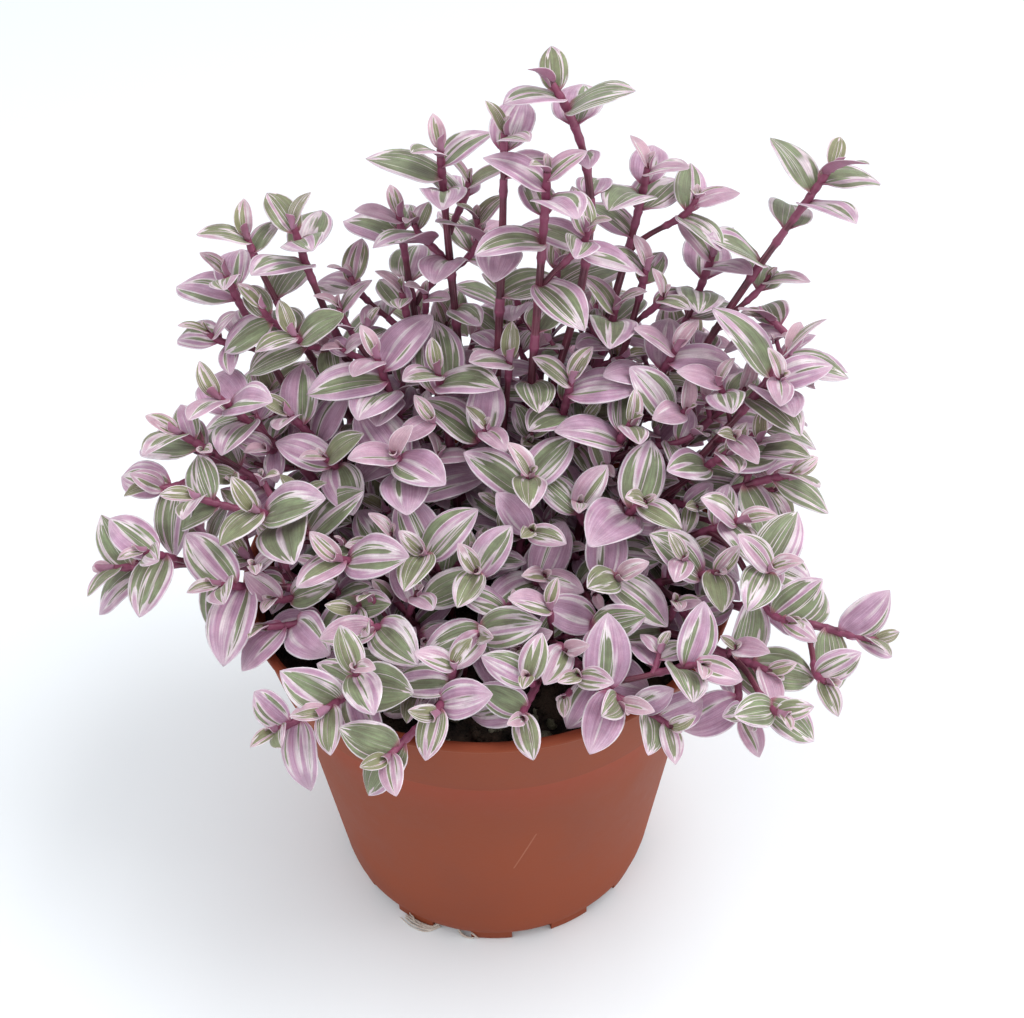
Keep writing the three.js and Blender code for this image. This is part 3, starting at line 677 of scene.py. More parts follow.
# %% Roots at the feet
FEEDER_ROUTES = [
    [(-113, 40.0, 1.0), (-114.5, 42.0, 0.6), (-118, 42.4, 0.5), (-122, 42.3, 0.45), (-126, 42.3, 0.4)],
    [(-112, 40.0, 1.2), (-115, 42.5, 0.4), (-118, 43.0, 0.4), (-122, 43.0, 0.4), (-126, 42.6, 0.3)],
    [(-112, 41.0, 0.6), (-115, 43.0, 0.4), (-118.5, 43.7, 0.4), (-122, 43.7, 0.4), (-125.5, 43.2, 0.3)],
    [(-112, 41.0, 0.4), (-115, 43.4, 0.3), (-118, 44.3, 0.3), (-122, 44.4, 0.3), (-127, 43.8, 0.3)],
    [(-121.6, 42.8, 0.5), (-122.4, 42.5, 1.8), (-122.7, 43.1, 3.4), (-122.4, 43.8, 5.4)],
    [(-106, 39.5, 1.6), (-103.5, 41.6, 0.8), (-101, 42.3, 0.5), (-98.6, 42.3, 0.5)],
    [(-99.4, 42.0, 2.4), (-98.6, 42.3, 2.2), (-97.6, 42.3, 1.2), (-96.8, 42.4, 0.7)],
]
FEEDER_RADII = (0.45, 0.42, 0.38, 0.24, 0.24, 0.45, 0.3)
FEEDER_STEPS = 8
FEEDER_SIDES = 7
KNOTTY = 0.12  # how much a root's thickness comes and goes
OFF_FLOOR = 1.15  # the least height of a root's middle, in its radii
ROOT_PALE = (0.9, 0.84, 0.77, 1)
ROOT_TAN = (0.76, 0.64, 0.55, 1)


def smooth_line(places, steps):
    """Points on a smooth line through some places."""
    ends = np.vstack([2 * places[0] - places[1], places, 2 * places[-1] - places[-2]])
    line = []
    for a, b, c, d in zip(ends, ends[1:], ends[2:], ends[3:]):
        for t in np.arange(steps) / steps:
            bend = (2 * a - 5 * b + 4 * c - d) * t**2 + (3 * b - a - 3 * c + d) * t**3
            line.append(b + ((c - a) * t + bend) / 2)
    return np.array(line + [places[-1]])


def thread(line, radius, sides):
    """Points and faces of a thin tube along a line, half as thick at its end."""
    points = []
    for n, place in enumerate(line):
        heading = Vector(line[min(n + 1, len(line) - 1)] - line[max(n - 1, 0)])
        turn = np.array(heading.to_track_quat("Z", "Y").to_matrix())
        thickness = radius * (1 - 0.5 * n / len(line)) * (1 + KNOTTY * math.sin(2.3 * n))
        turns = np.arange(sides) * 2 * np.pi / sides
        ring = np.stack([np.cos(turns), np.sin(turns), 0 * turns], axis=1) * thickness
        points += (place + ring @ turn.T).tolist()
    faces = strips(len(line), sides)
    faces.append(tuple(range(sides - 1, -1, -1)))
    faces.append(tuple(range(len(points) - sides, len(points))))
    return points, faces


threads = []
for passed, radius in zip(FEEDER_ROUTES, FEEDER_RADII):
    least = OFF_FLOOR * radius
    places = [polar(bearing, reach, max(height, least)) for bearing, reach, height in passed]
    threads.append(thread(smooth_line(np.array(places), FEEDER_STEPS), radius, FEEDER_SIDES))
feeders = new_piece("feeder_roots", *gathered(threads))
feeders.data.materials.append(earthy("pale_root", 0.003, ROOT_PALE, ROOT_TAN, 0.0004))
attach(feeders, "root")
print(len(threads), "roots come out at the feet")

# %% [markdown]
# ## How the plant grows
#
# Leaves could be strewn over a bush-shaped surface, but then they would hang on nothing. The
# frame's leafy stems were grown by a rule, and we repeat that rule here, so that every fine leaf
# starts where a plain one does. Each stem has a short row: where its tip is, how its youngest leaf
# is turned, and where its side shoots end. The bearing is in degrees from the right-hand side, and
# the reach from the pot's axis and the height are in millimetres. Some stems also have the bearing
# and rise in which they end, and how pink they are, from 0 to 1, where that differs from the rest.

# %% The table of stems
STEMS = [
    dict(tip=(66, 38, 207), turn=200, lean=(170, 55), pink=0.35),
    dict(tip=(80, 31, 198), turn=60, side=[(92, 40, 172)], pink=0.45),
    dict(tip=(103, 41, 190), turn=20, side=[(94, 47, 178), (112, 43, 171)]),
    dict(tip=(47, 56, 184), turn=80, side=[(38, 63, 177)]),
    dict(tip=(28, 92, 182), turn=10, lean=(28, 50), side=[(27, 76, 158)], pink=0.3),
    dict(tip=(56, 26, 193), turn=150, side=[(40, 31, 180)]),
    dict(tip=(114, 49, 171), turn=30, side=[(113, 36, 156), (92, 52, 160)]),
    dict(tip=(40, 50, 163), turn=5, side=[(33, 50, 158)]),
    dict(tip=(36, 68, 162), turn=300),
    dict(tip=(121, 38, 157), turn=100, side=[(128, 53, 156)]),
    dict(tip=(66, 44, 160), turn=210, side=[(79, 40, 152)]),
    dict(tip=(145, 68, 169), turn=350, side=[(154, 58, 158)], pink=0.3),
    dict(tip=(138, 60, 171), turn=290, side=[(154, 50, 153)], pink=0.35),
    dict(tip=(150, 71, 161), turn=60, side=[(157, 72, 149)]),
    dict(tip=(145, 31, 149), turn=20, side=[(136, 49, 152)], pink=0.75),
    dict(tip=(128, 18, 147), turn=0, side=[(90, 5, 137)]),
    dict(tip=(70, 17, 149), turn=350),
    dict(tip=(32, 24, 145), turn=320, side=[(65, 31, 143)]),
    dict(tip=(43, 43, 154), turn=260),
    dict(tip=(23, 49, 149), turn=330, side=[(8, 47, 140)], pink=0.75),
    dict(tip=(12, 62, 141), turn=100, pink=0.75),
    dict(tip=(10, 71, 152), turn=350, lean=(0, 50), side=[(24, 73, 150)]),
    dict(tip=(166, 48, 137), turn=60, side=[(177, 38, 131)]),
    dict(tip=(176, 72, 137), turn=30, side=[(183, 77, 128)], pink=0.45),
    dict(tip=(169, 64, 142), turn=340),
    dict(tip=(195, 54, 129), turn=0, lean=(240, 52), side=[(189, 67, 130)], pink=0.22),
    dict(tip=(203, 66, 117), turn=100, side=[(208, 55, 112)]),
    dict(tip=(190, 89, 113), turn=30, lean=(188, 5), side=[(196, 80, 124)]),
    dict(tip=(186, 21, 135), turn=320, lean=(262, 52), pink=0.75),
    dict(tip=(327, 12, 132), turn=50, side=[(300, 20, 124)]),
    dict(tip=(341, 38, 128), turn=90, side=[(337, 23, 125)], pink=0.45),
    dict(tip=(6, 34, 139), turn=40, side=[(7, 49, 133)], pink=0.7),
    dict(tip=(358, 56, 134), turn=20),
    dict(tip=(357, 71, 128), turn=10, lean=(350, 15)),
    dict(tip=(345, 60, 125), turn=290, side=[(342, 68, 117), (330, 76, 115)]),
    dict(tip=(332, 58, 120), turn=15, lean=(285, 50), side=[(326, 57, 109)]),
    dict(tip=(316, 41, 120), turn=330, side=[(302, 46, 113)]),
    dict(tip=(216, 41, 123), turn=340, side=[(225, 43, 113)]),
    dict(tip=(236, 26, 122), turn=20, side=[(208, 30, 118)]),
    dict(tip=(265, 27, 121), turn=10),
    dict(tip=(237, 47, 116), turn=300, side=[(229, 33, 111)]),
    dict(tip=(268, 41, 115), turn=0),
    dict(tip=(301, 25, 114), turn=90),
    dict(tip=(291, 48, 114), turn=10, side=[(277, 59, 108)]),
    dict(tip=(239, 67, 110), turn=30, lean=(235, 20), side=[(231, 73, 103)]),
    dict(tip=(259, 59, 109), turn=10, lean=(250, 25), side=[(252, 69, 104)]),
    dict(tip=(297, 63, 109), turn=320, lean=(300, 20), side=[(304, 70, 104), (313, 67, 113)]),
    dict(tip=(339, 94, 104), turn=20, lean=(345, 0), side=[(327, 88, 106)]),
    dict(tip=(325, 76, 105), turn=30, lean=(320, 15), side=[(317, 77, 99), (316, 86, 109)]),
    dict(tip=(211, 59, 108), turn=200, lean=(205, 25)),
    dict(tip=(18, 76, 124), turn=0, side=[(5, 70, 116)]),
    dict(tip=(42, 72, 132), turn=70, side=[(52, 64, 120)]),
    dict(tip=(62, 62, 139), turn=140, side=[(70, 60, 122)]),
    dict(tip=(85, 60, 140), turn=210, side=[(84, 60, 117)]),
    dict(tip=(107, 61, 134), turn=280, side=[(102, 58, 116)]),
    dict(tip=(128, 66, 130), turn=350, side=[(140, 64, 118)]),
    dict(tip=(150, 72, 124), turn=60, side=[(160, 66, 115)]),
]
side_shoots = sum(len(row.get("side", ())) for row in STEMS)
print(len(STEMS), "stems with", side_shoots, "side shoots")

# %% The growth rule's own numbers
CURVE_STEPS = 60
BARE_FOOT = 7.0
LEAF_LENGTH = 18.0
LEAF_SLENDERNESS = 0.62
LEAF_FOLD = 0.25
LEAF_ARCH = 0.08
LEAF_DROOP = 0.16
STEP_ALONG = 1.1  # between the points of a stem that are tested
GOLDEN_ANGLE = 137.5
STEM_CLEARANCE = 3.4
CLEARANCE = 2.7
OWN_CLEARANCE = 1.9
POT_CLEARANCE = 1.6
# The distance from the tip, the angle off the stem, and the shares of the full length and breadth.
LEAF_RANKS = [
    (0.7, 30, 0.6, 0.66),
    (2.8, 48, 0.78, 0.82),
    (5.2, 61, 0.94, 0.96),
    (8, 69, 1.05, 1),
    (11.4, 75, 1.08, 1),
    (18, 80, 1.0, 1),
    (28, 84, 0.96, 1),
    (40, 86, 0.95, 1),
    (53, 86, 0.9, 1),
]
SIDE_LEAVES = 4
SIDE_SIZE = 0.86
SIDE_REACH = 15
FORKS = (0.35, 0.42, 0.49, 0.56, 0.63, 0.7, 0.77)
LEAF_TURNS = (0, 15, -15, 30, -30, 48, -48)
LEAF_RAISES = (0, 12, -10)
LEAF_SIZES = (1, 0.88, 0.76, 0.64)
FRAME_CHOICES = list(itertools.product(LEAF_SIZES, LEAF_RAISES, LEAF_TURNS))
STEM_SWAYS = (0, 5, -5, 10, -10, 15, -15, 20, -20)
STEM_REACHES = (0.36, 0.2, 0.52)
ROOT_SPACING = 8
ROOT_CIRCLE = 45
leaf_width = LEAF_LENGTH * LEAF_SLENDERNESS
print("A full leaf is", LEAF_LENGTH, "mm long and", round(leaf_width, 1), "mm wide")


# %% Vectors, curves and chance
def unit(a):
    """A vector's direction."""
    return a / np.linalg.norm(a)


def cross(a, b):
    """The direction square to two others."""
    x, y, z = a
    u, v, w = b
    return np.array([y * w - z * v, z * u - x * w, x * v - y * u])


def square(a, axis):
    """a, made square to axis."""
    return unit(a - axis * (a @ axis))


def turned_between(first, second, degrees):
    """A direction turned from the first towards the second, which are square to each other."""
    t = math.radians(degrees)
    return first * math.cos(t) + second * math.sin(t)


def heading(bearing, rise):
    """A direction, from its bearing and its rise above level, in degrees."""
    t, r = math.radians(bearing), math.radians(rise)
    return np.array([math.cos(r) * math.cos(t), math.cos(r) * math.sin(t), math.sin(r)])


def chance(axis, leaf, use):
    """The same draw, from -1 to 1, for the same axis of growth, leaf and use."""
    whole = 0xFFFFFFFF
    h = ((axis + 1) * 73856093 & whole) ^ ((leaf + 1) * 19349663 & whole)
    h = (h ^ (use * 83492791 & whole)) * 2246822519 & whole
    h = (h ^ (h >> 15)) * 3266489917 & whole
    return (h ^ (h >> 16)) / 2147483648 - 1


def bezier(p, t):
    """The point, or points, of a curve of four control points at t."""
    t = np.asarray(t, float)[..., None]
    s = 1 - t
    return p[0] * s**3 + p[1] * 3 * s * s * t + p[2] * 3 * s * t * t + p[3] * t**3


def bezier_heading(p, t):
    """The direction of a curve of four control points at t."""
    s = 1 - t
    return unit((p[1] - p[0]) * s * s + (p[2] - p[1]) * 2 * s * t + (p[3] - p[2]) * t * t)


def points_along(curve, start):
    """Points close together on a curve, from its parameter start to its end."""
    count = math.ceil(np.linalg.norm(curve[3] - curve[0]) / STEP_ALONG)
    return bezier(curve, np.arange(math.ceil(start * count), count + 1) / count)


def walked_back(curve):
    """The distances back from a curve's tip, and their parameters."""
    parameters = np.arange(CURVE_STEPS, -1, -1) / CURVE_STEPS
    steps = np.linalg.norm(np.diff(bezier(curve, parameters), axis=0), axis=1)
    return np.concatenate([[0], np.cumsum(steps)]), parameters


print("Three draws:", [round(chance(0, 0, use), 3) for use in (1, 2, 3)])

# %% [markdown]
# ## Keeping apart
#
# Before a stem or a leaf is accepted, we test that it isn't in the pot or the soil, and that no
# point of what has already grown is too near. All grown points go into one long array with the
# number of their owner. For a test, only the points in a box round the new piece matter, which
# makes it quick.

# %% What is already grown
MOST_POINTS = 60000
grown_points = np.zeros((MOST_POINTS, 3))
grown_owners = np.zeros(MOST_POINTS, int)
grown_count = 0


def keep(points, owner):
    """Remembers the points of what has grown, and whose they are."""
    global grown_count
    grown_points[grown_count : grown_count + len(points)] = points
    grown_owners[grown_count : grown_count + len(points)] = owner
    grown_count += len(points)


def is_near(points, others, room):
    """Whether any of the points is nearer than room to any of the others."""
    if len(others) == 0:
        return False
    squares = (points * points).sum(1)[:, None] + (others * others).sum(1)[None, :]
    return bool((squares - 2 * points @ others.T < room * room).any())


def touches_pot(points, room):
    """Whether any of the points is in the pot or the soil, or nearer to them than room."""
    x, y, z = points.T
    if z.min() > POT_HEIGHT + room:
        return False
    r = np.hypot(x, y)
    outside = (z > POT_HEIGHT + room) | (r > POT_TOP_RADIUS + room)
    inside = (r > inner_radius(z) - room) | (z < soil_height(x, y) + room)
    return bool((~outside & inside).any())


def neighbours(low, high, own):
    """The grown points inside a box that don't belong to the owners in own."""
    places = grown_points[:grown_count]
    near = ((places > low) & (places < high)).all(axis=1)
    owners = grown_owners[:grown_count][near]
    return places[near][~np.isin(owners, own)]


def is_free(points, own, room, others=None):
    """Whether the points are clear of the pot, and of all that others than own have grown."""
    if touches_pot(points, POT_CLEARANCE):
        return False
    if others is None:
        others = neighbours(points.min(0) - room, points.max(0) + room, own)
    return not is_near(points, others, room)


print("There is room to remember", MOST_POINTS, "points")

# %% Where stems start, and how they lean
FURTHEST_TIP = 93
ROOT_MOVES = 80
TIP_WIDTH = 62  # at this distance from the axis a low stem leans out by 45 degrees
UPRIGHT_FROM = 175
UPRIGHT_OVER = 50
LEAST_LEAN = 0.2
FORWARD = 0.4


def root_places():
    """The roots follow the tips' bearings, closer in, and are then moved apart."""
    roots = []
    for row in STEMS:
        bearing, reach, _ = row["tip"]
        x, y, _ = polar(bearing, ROOT_CIRCLE * (reach / FURTHEST_TIP) ** 0.8, 0)
        roots.append(complex(x, y))
    for _ in range(ROOT_MOVES):
        for i in range(1, len(roots)):
            for j in range(i):
                apart = roots[i] - roots[j]
                push = (ROOT_SPACING - abs(apart)) / 2
                if push > 0:
                    step = apart / abs(apart) * push
                    roots[i] += step
                    roots[j] -= step
            if abs(roots[i]) > ROOT_CIRCLE:
                roots[i] *= ROOT_CIRCLE / abs(roots[i])
    return [np.array([r.real, r.imag, float(soil_height(r.real, r.imag))]) for r in roots]


def growth_of(tip, lean=None):
    """Stems lean outwards, more the further out they end and the lower they are."""
    if lean:
        return heading(*lean)
    low = max(LEAST_LEAN, min(1, (UPRIGHT_FROM - tip[2]) / UPRIGHT_OVER))
    return unit(np.array([tip[0] / TIP_WIDTH * low, tip[1] / TIP_WIDTH * low - FORWARD * low, 1]))


roots = root_places()
print("The first stem starts at", roots[0].round(1))

# %% Stems and side shoots
UPWARDS = np.array([0.0, 0.0, 1.0])
FIRST_REACH = 0.4  # how far a curve follows its start, as a share of the whole way
IN_SOIL = 0.15  # the first share of a stem isn't tested, because it leaves the soil there
AT_FORK = 0.12
SIDE_TURN = 70
axes = []


def route(start_point, rise, to, growth, stem, start):
    """The curve of a stem or side shoot, bent aside where it would touch another stem."""
    far = np.linalg.norm(to - start_point)
    aside = unit(np.cross([0, 0, 1], to - start_point + [0.01, 0, 0]))
    own = [n for n, axis in enumerate(axes) if axis["stem"] == stem]
    curves = []
    for reach in STEM_REACHES:
        for sway in STEM_SWAYS:
            before = to - growth * far * reach + aside * sway
            curve = np.array([start_point, start_point + rise * far * FIRST_REACH, before, to])
            if is_free(points_along(curve, start), own, STEM_CLEARANCE):
                return curve
            curves.append(curve)
    return curves[0]


def grow(stem, curve, leaves, turn, vigour):
    """Adds an axis of growth, a stem or a shoot, with the number of leaves it may have."""
    tip_heading = bezier_heading(curve, 1)
    north = square(np.array([0.0, 1.0, 0.0]), tip_heading)
    west = cross(tip_heading, north)
    axis = dict(stem=stem, curve=curve, leaves=leaves, vigour=vigour)
    axis.update(tip_heading=tip_heading, front=turned_between(north, west, turn))
    axis.update(marks=walked_back(curve))
    axis.update(length=float(axis["marks"][0][-1]))
    axes.append(axis)
    keep(points_along(curve, 0), len(axes) - 1)


for stem, row in enumerate(STEMS):
    end = polar(*row["tip"])
    growth = growth_of(end, row.get("lean"))
    curve = route(roots[stem], UPWARDS, end, growth, stem, IN_SOIL)
    grow(stem, curve, len(LEAF_RANKS), row["turn"], 1)
for stem, row in enumerate(STEMS):
    for n, tip in enumerate(row.get("side", ())):
        end = polar(*tip)
        growth = growth_of(end)
        main = axes[stem]["curve"]
        wanted = end - growth * SIDE_REACH
        fork = min(FORKS, key=lambda t: float(np.linalg.norm(bezier(main, t) - wanted)))
        start_point = bezier(main, fork)
        rise = unit(bezier_heading(main, fork) + unit(end - start_point))
        curve = route(start_point, rise, end, growth, stem, AT_FORK)
        grow(stem, curve, SIDE_LEAVES, row["turn"] + SIDE_TURN + 90 * n, SIDE_SIZE)
print(len(axes), "axes of growth,", round(sum(a["length"] for a in axes) / 1000, 2), "m in all")


# %% Places on a stem and on a leaf
def frame_at(axis, back):
    """A point on a stem, its heading there, and two directions square to it that turn with it."""
    t = float(np.interp(back, *axis["marks"]))
    base, up = bezier(axis["curve"], t), bezier_heading(axis["curve"], t)
    tip, front = axis["tip_heading"], axis["front"]
    east = front - (tip + up) * (front @ up) / (1 + tip @ up)
    return base, up, east, cross(up, east)


# Places along and across a leaf's middle surface, half of a plain blade's width over its length at
# each, and its bend.
BLADE_V = np.repeat([0.2, 0.33, 0.46, 0.6, 0.74, 0.87, 1], 5)
BLADE_U = np.tile([-1, -0.5, 0, 0.5, 1], 7)
BLADE_OUTLINE = (1 - BLADE_V) ** 0.75 * (BLADE_V + 0.06) ** 0.55 / 0.445
BLADE_HALF = BLADE_OUTLINE * BLADE_U / 2 * LEAF_SLENDERNESS
BLADE_BEND = LEAF_ARCH * np.sin(np.pi * BLADE_V) - LEAF_DROOP * BLADE_V**2


def blade_points(leaf):
    """Points spread over a leaf's middle surface, for testing what it would touch."""
    half = leaf["length"] * leaf["breadth"] * BLADE_HALF
    rise = leaf["length"] * BLADE_BEND + LEAF_FOLD * np.abs(half)
    side = cross(leaf["over"], leaf["along"])
    flat = np.outer(leaf["length"] * BLADE_V, leaf["along"]) + np.outer(half, side)
    return leaf["base"] + flat + np.outer(rise, leaf["over"])


print("A leaf is tested by", len(BLADE_V), "points")


# %% The leaves of the frame
def outer_points_of(number):
    """The points of an axis of growth and of its leaves' outer parts."""
    own = [other["points"][5:] for other in leaves[number]]
    return np.vstack([points_along(axes[number]["curve"], 0), *own])


def add_leaf(number, rank, back, spread, length, breadth, round_stem, manner):
    """Adds a leaf, turned, raised or made smaller until it is clear, if any choice is."""
    axis = axes[number]
    if back > axis["length"] - manner["bare"]:
        return
    room, own_room = manner["rooms"]
    base, up, east, north = frame_at(axis, back)
    others = neighbours(base - length - room, base + length + room, [number])
    others = others[((others - base) ** 2).sum(1) < (1.1 * length + room) ** 2]
    own = outer_points_of(number)
    for size, raised, turned in manner["choices"]:
        out = turned_between(east, north, round_stem + turned)
        along = turned_between(up, out, spread + raised)
        leaf = dict(base=base, along=along, over=square(up, along), length=length * size)
        leaf.update(breadth=breadth, back=back, rank=rank)
        if manner["lit"]:
            turn_to_light(leaf)
        points = blade_points(leaf)
        if is_free(points, [number], room, others) and not is_near(points[5:], own, own_room):
            leaf["points"] = points
            leaves[number].append(leaf)
            keep(points, number)
            return


# How a leaf is fitted in: the room that it needs, the choices it has, the bare foot of its stem,
# and whether it is turned to the light before it is tested.
LIKE_FRAME = dict(
    rooms=(CLEARANCE, OWN_CLEARANCE), choices=FRAME_CHOICES, bare=BARE_FOOT, lit=False
)
leaves = [[] for _ in axes]
frame_axes = len(axes)
for rank, (back, spread, grown_to, breadth) in enumerate(LEAF_RANKS):
    for number, axis in enumerate(axes):
        if rank < axis["leaves"]:
            vigour = axis["vigour"]
            round_stem = GOLDEN_ANGLE * rank + 10 * chance(number, rank, 1)
            tilt = spread + 5 * chance(number, rank, 2)
            length = LEAF_LENGTH * grown_to * vigour * (1 + 0.1 * chance(number, rank, 3))
            add_leaf(number, rank, back * vigour, tilt, length, breadth, round_stem, LIKE_FRAME)
print(sum(len(own) for own in leaves), "leaves stand where the frame's leaves do")

# %% [markdown]
# ## Turning to the light
#
# A leaf doesn't stay as its stem holds it: it lowers or lifts itself until its upper side faces
# the light, and twists at its foot. We do the same to every leaf. What is steeper or lower than
# a leaf likes to be is mostly taken back, and its upper side is rolled part of the way.

# %% Turning to the light
LIGHT = unit(np.array([0.0, -0.3, 1.0]))
STEEPEST = (42, 36, 32)  # degrees off level, for the youngest leaf, the next, and all others
LOWEST = -12
GIVING = 0.3  # the share of what is beyond these that stays
ROLLED_TO_LIGHT = 0.65


def turn_to_light(leaf):
    """Turns a leaf's own direction and its upper side towards the light."""
    rise = math.degrees(math.asin(leaf["along"] @ LIGHT))
    steepest = STEEPEST[min(leaf["rank"], len(STEEPEST) - 1)]
    if rise > steepest:
        rise = steepest + GIVING * (rise - steepest)
    if rise < LOWEST:
        rise = LOWEST + GIVING * (rise - LOWEST)
    leaf["along"] = turned_between(square(leaf["along"], LIGHT), LIGHT, rise)
    over = leaf["over"] * (1 - ROLLED_TO_LIGHT) + LIGHT * ROLLED_TO_LIGHT
    leaf["over"] = square(over, leaf["along"])


grown_count = 0
for number, axis in enumerate(axes):
    keep(points_along(axis["curve"], 0), number)
    for leaf in leaves[number]:
        turn_to_light(leaf)
        leaf["points"] = blade_points(leaf)
        keep(leaf["points"], number)
print("Turned to the light:", sum(len(own) for own in leaves), "leaves")

# %% [markdown]
# ## Filling the bush
#
# The frame has only as many leaves as a light model can carry. The real plant is denser: short
# young shoots sit in the leaf axils, each with a small star of leaves at its end, and older
# leaves fill the room between. We look along every stem for a free spot a little way off it,
# grow a short shoot there, and then give every stem the leaves it still has room for. Shoots set
# down anywhere would fill the bush too, but they would cut the leaves that are there. Tall stems
# stay bare below their tips, and so do the runners that trail beyond the rim, as in the photo.


# %% Young shoots in the axils
AXIL_BACKS = (12, 17, 22, 28, 34, 41, 49, 58, 68, 79)
AXIL_TURNS = (0, 137, 275, 52, 190, 327, 105, 242)
AXIL_REACHES = (12, 9, 6.5)
AXIL_SIZES = (0.82, 0.72, 0.6)
AXIL_LEAVES = 5
AXIL_STAR = 6.4  # the radius of the free spot at its end, for a full size
AXIL_ROOM = 1.6
AXIL_SEARCH = 24  # nothing further off than this can touch the new shoot
AXIL_HIGHEST = 156
AXIL_FURTHEST = 74
TALL = 160  # stems that end higher than this stay bare near their tips
TALL_BARE = 54
RUNNER_REACH = 66  # runners that trail beyond the rim stay bare between their leaves
RUNNER_HEIGHT = 124


def star_of_points(middle, up, radius):
    """A small disc of points square to a heading."""
    east = unit(np.cross(up, [0.3, 0.2, 1.0]))
    north = np.cross(up, east)
    turns = np.radians(np.arange(0, 360, 45))
    rim = np.outer(np.cos(turns), east) + np.outer(np.sin(turns), north)
    return np.vstack([middle, middle + rim * radius / 2, middle + rim * radius])


def axil_shoot(number, back):
    """Grows a short shoot from a stem, if there is a free spot for it."""
    axis = axes[number]
    base, up, east, north = frame_at(axis, back)
    others = neighbours(base - AXIL_SEARCH, base + AXIL_SEARCH, [])
    for reach, vigour in zip(AXIL_REACHES, AXIL_SIZES):
        for turn in AXIL_TURNS:
            out = turned_between(east, north, turn + 180 * chance(number, int(back), 20))
            growth = unit(up * 0.4 + out * 0.6 + LIGHT * 0.7)
            end = base + unit(up * 0.6 + out) * reach * 0.55 + growth * reach * 0.5
            if end[2] > AXIL_HIGHEST or math.hypot(end[0], end[1]) > AXIL_FURTHEST:
                continue
            star = star_of_points(end + growth * 1.5, growth, AXIL_STAR * vigour)
            if is_free(star, [], AXIL_ROOM, others):
                after = base + unit(up + out) * reach * 0.4
                before = end - growth * reach * 0.3
                curve = np.array([base, after, before, end])
                turn = 360 * chance(number, int(back), 21)
                grow(axis["stem"], curve, AXIL_LEAVES, turn, vigour)
                leaves.append([])
                return


def stays_bare(axis, back):
    """Whether a place is in the bare upper part of a tall stem, or far out on a runner."""
    if axis["curve"][3][2] > TALL and back < TALL_BARE:
        return True
    x, y, z = frame_at(axis, back)[0]
    return z < RUNNER_HEIGHT and math.hypot(x, y) > RUNNER_REACH


for back in AXIL_BACKS:
    for number in range(frame_axes):
        if back < axes[number]["length"] - 10 and not stays_bare(axes[number], back):
            axil_shoot(number, back)
print(len(axes) - frame_axes, "young shoots in the axils")

# %% The young shoots' leaves
FILLING_CHOICES = list(itertools.product((1, 0.82, 0.66), (0, 14), (0, 25, -25, 52, -52)))
ON_YOUNG_SHOOTS = dict(rooms=(1.7, 1.2), choices=FILLING_CHOICES, bare=0.5, lit=True)

for rank in range(AXIL_LEAVES):
    back, spread, grown_to, breadth = LEAF_RANKS[rank]
    for number in range(frame_axes, len(axes)):
        vigour = axes[number]["vigour"]
        round_stem = GOLDEN_ANGLE * rank + 10 * chance(number, rank, 1)
        length = LEAF_LENGTH * grown_to * vigour * (1 + 0.1 * chance(number, rank, 3))
        add_leaf(number, rank, back * vigour, spread, length, breadth, round_stem, ON_YOUNG_SHOOTS)
leaves_before = sum(len(own) for own in leaves)
print(leaves_before, "leaves with those of the young shoots")

# %% Leaves between
BETWEEN = dict(rooms=(1.5, 1.3), choices=FILLING_CHOICES, bare=BARE_FOOT, lit=True)
BETWEEN_FIRST = 9
BETWEEN_SPACING = 6.0
BETWEEN_STEPS = 16
BETWEEN_RANK = 9  # they count as old leaves
LEAST_APART = 2  # along a stem

for step in range(BETWEEN_STEPS):
    for number in range(frame_axes):
        back = BETWEEN_FIRST + BETWEEN_SPACING * step + 2 * chance(number, step, 5)
        if any(abs(leaf["back"] - back) < LEAST_APART for leaf in leaves[number]):
            continue
        if stays_bare(axes[number], back):
            continue
        length = LEAF_LENGTH * (0.9 + 0.12 * chance(number, step, 6))
        spread = 78 + 8 * chance(number, step, 7)
        turn = GOLDEN_ANGLE * (step + 0.5)
        add_leaf(number, BETWEEN_RANK + step, back, spread, length, 1, turn, BETWEEN)
print(sum(len(own) for own in leaves) - leaves_before, "leaves between")

# %% [markdown]
# ## A fine leaf
#
# A real leaf of this plant is a broad oval with a short sharp tip, a few tenths of a millimetre
# thick. It clasps its stem at the foot, is folded along the midrib, bends over towards the tip,
# and its margins roll back a little. A flat card with a picture of a leaf would look thin from
# the side, so we loft it: one closed ring of points runs over the top and back along the
# underside, and such rings follow each other from the foot to the tip. The points also remember
# where they are on the blade, across and along, because the stripes will need that.

# %% One blade
# Half of the width, over the greatest, at shares of the length.
OUTLINE_V = np.array([0, 0.05, 0.12, 0.2, 0.3, 0.4, 0.5, 0.6, 0.7, 0.79, 0.87, 0.93, 0.97])
OUTLINE_W = np.array([0.3, 0.52, 0.72, 0.865, 0.96, 1, 0.99, 0.94, 0.84, 0.69, 0.49, 0.29, 0.14])
OVER_U = np.array([-1, -0.93, -0.72, -0.48, -0.24, 0, 0.24, 0.48, 0.72, 0.93, 1])
UNDER_U = np.array([0.93, 0.6, 0.25, 0, -0.25, -0.6, -0.93])
RING_U = np.concatenate([OVER_U, UNDER_U])
IS_UNDER = np.concatenate([np.zeros(len(OVER_U)), np.ones(len(UNDER_U))])
THICKNESS = 0.42  # at the midrib
EDGE_THICKNESS = 0.1
MIDRIB = 0.22  # how far the midrib stands out below
MIDRIB_WIDTH = 0.14
FULL_SLENDERNESS = 0.65
ROLLED_MARGIN = 0.09
CREASE = 0.12  # the soft width of the fold at the midrib
FOOT_FOLD = 0.9  # how much more the foot is folded
FOOT_REACH = 0.07
WAVES = 9
ROLL_OVERLAP = 0.06  # lets one margin of a rolled leaf lie over the other


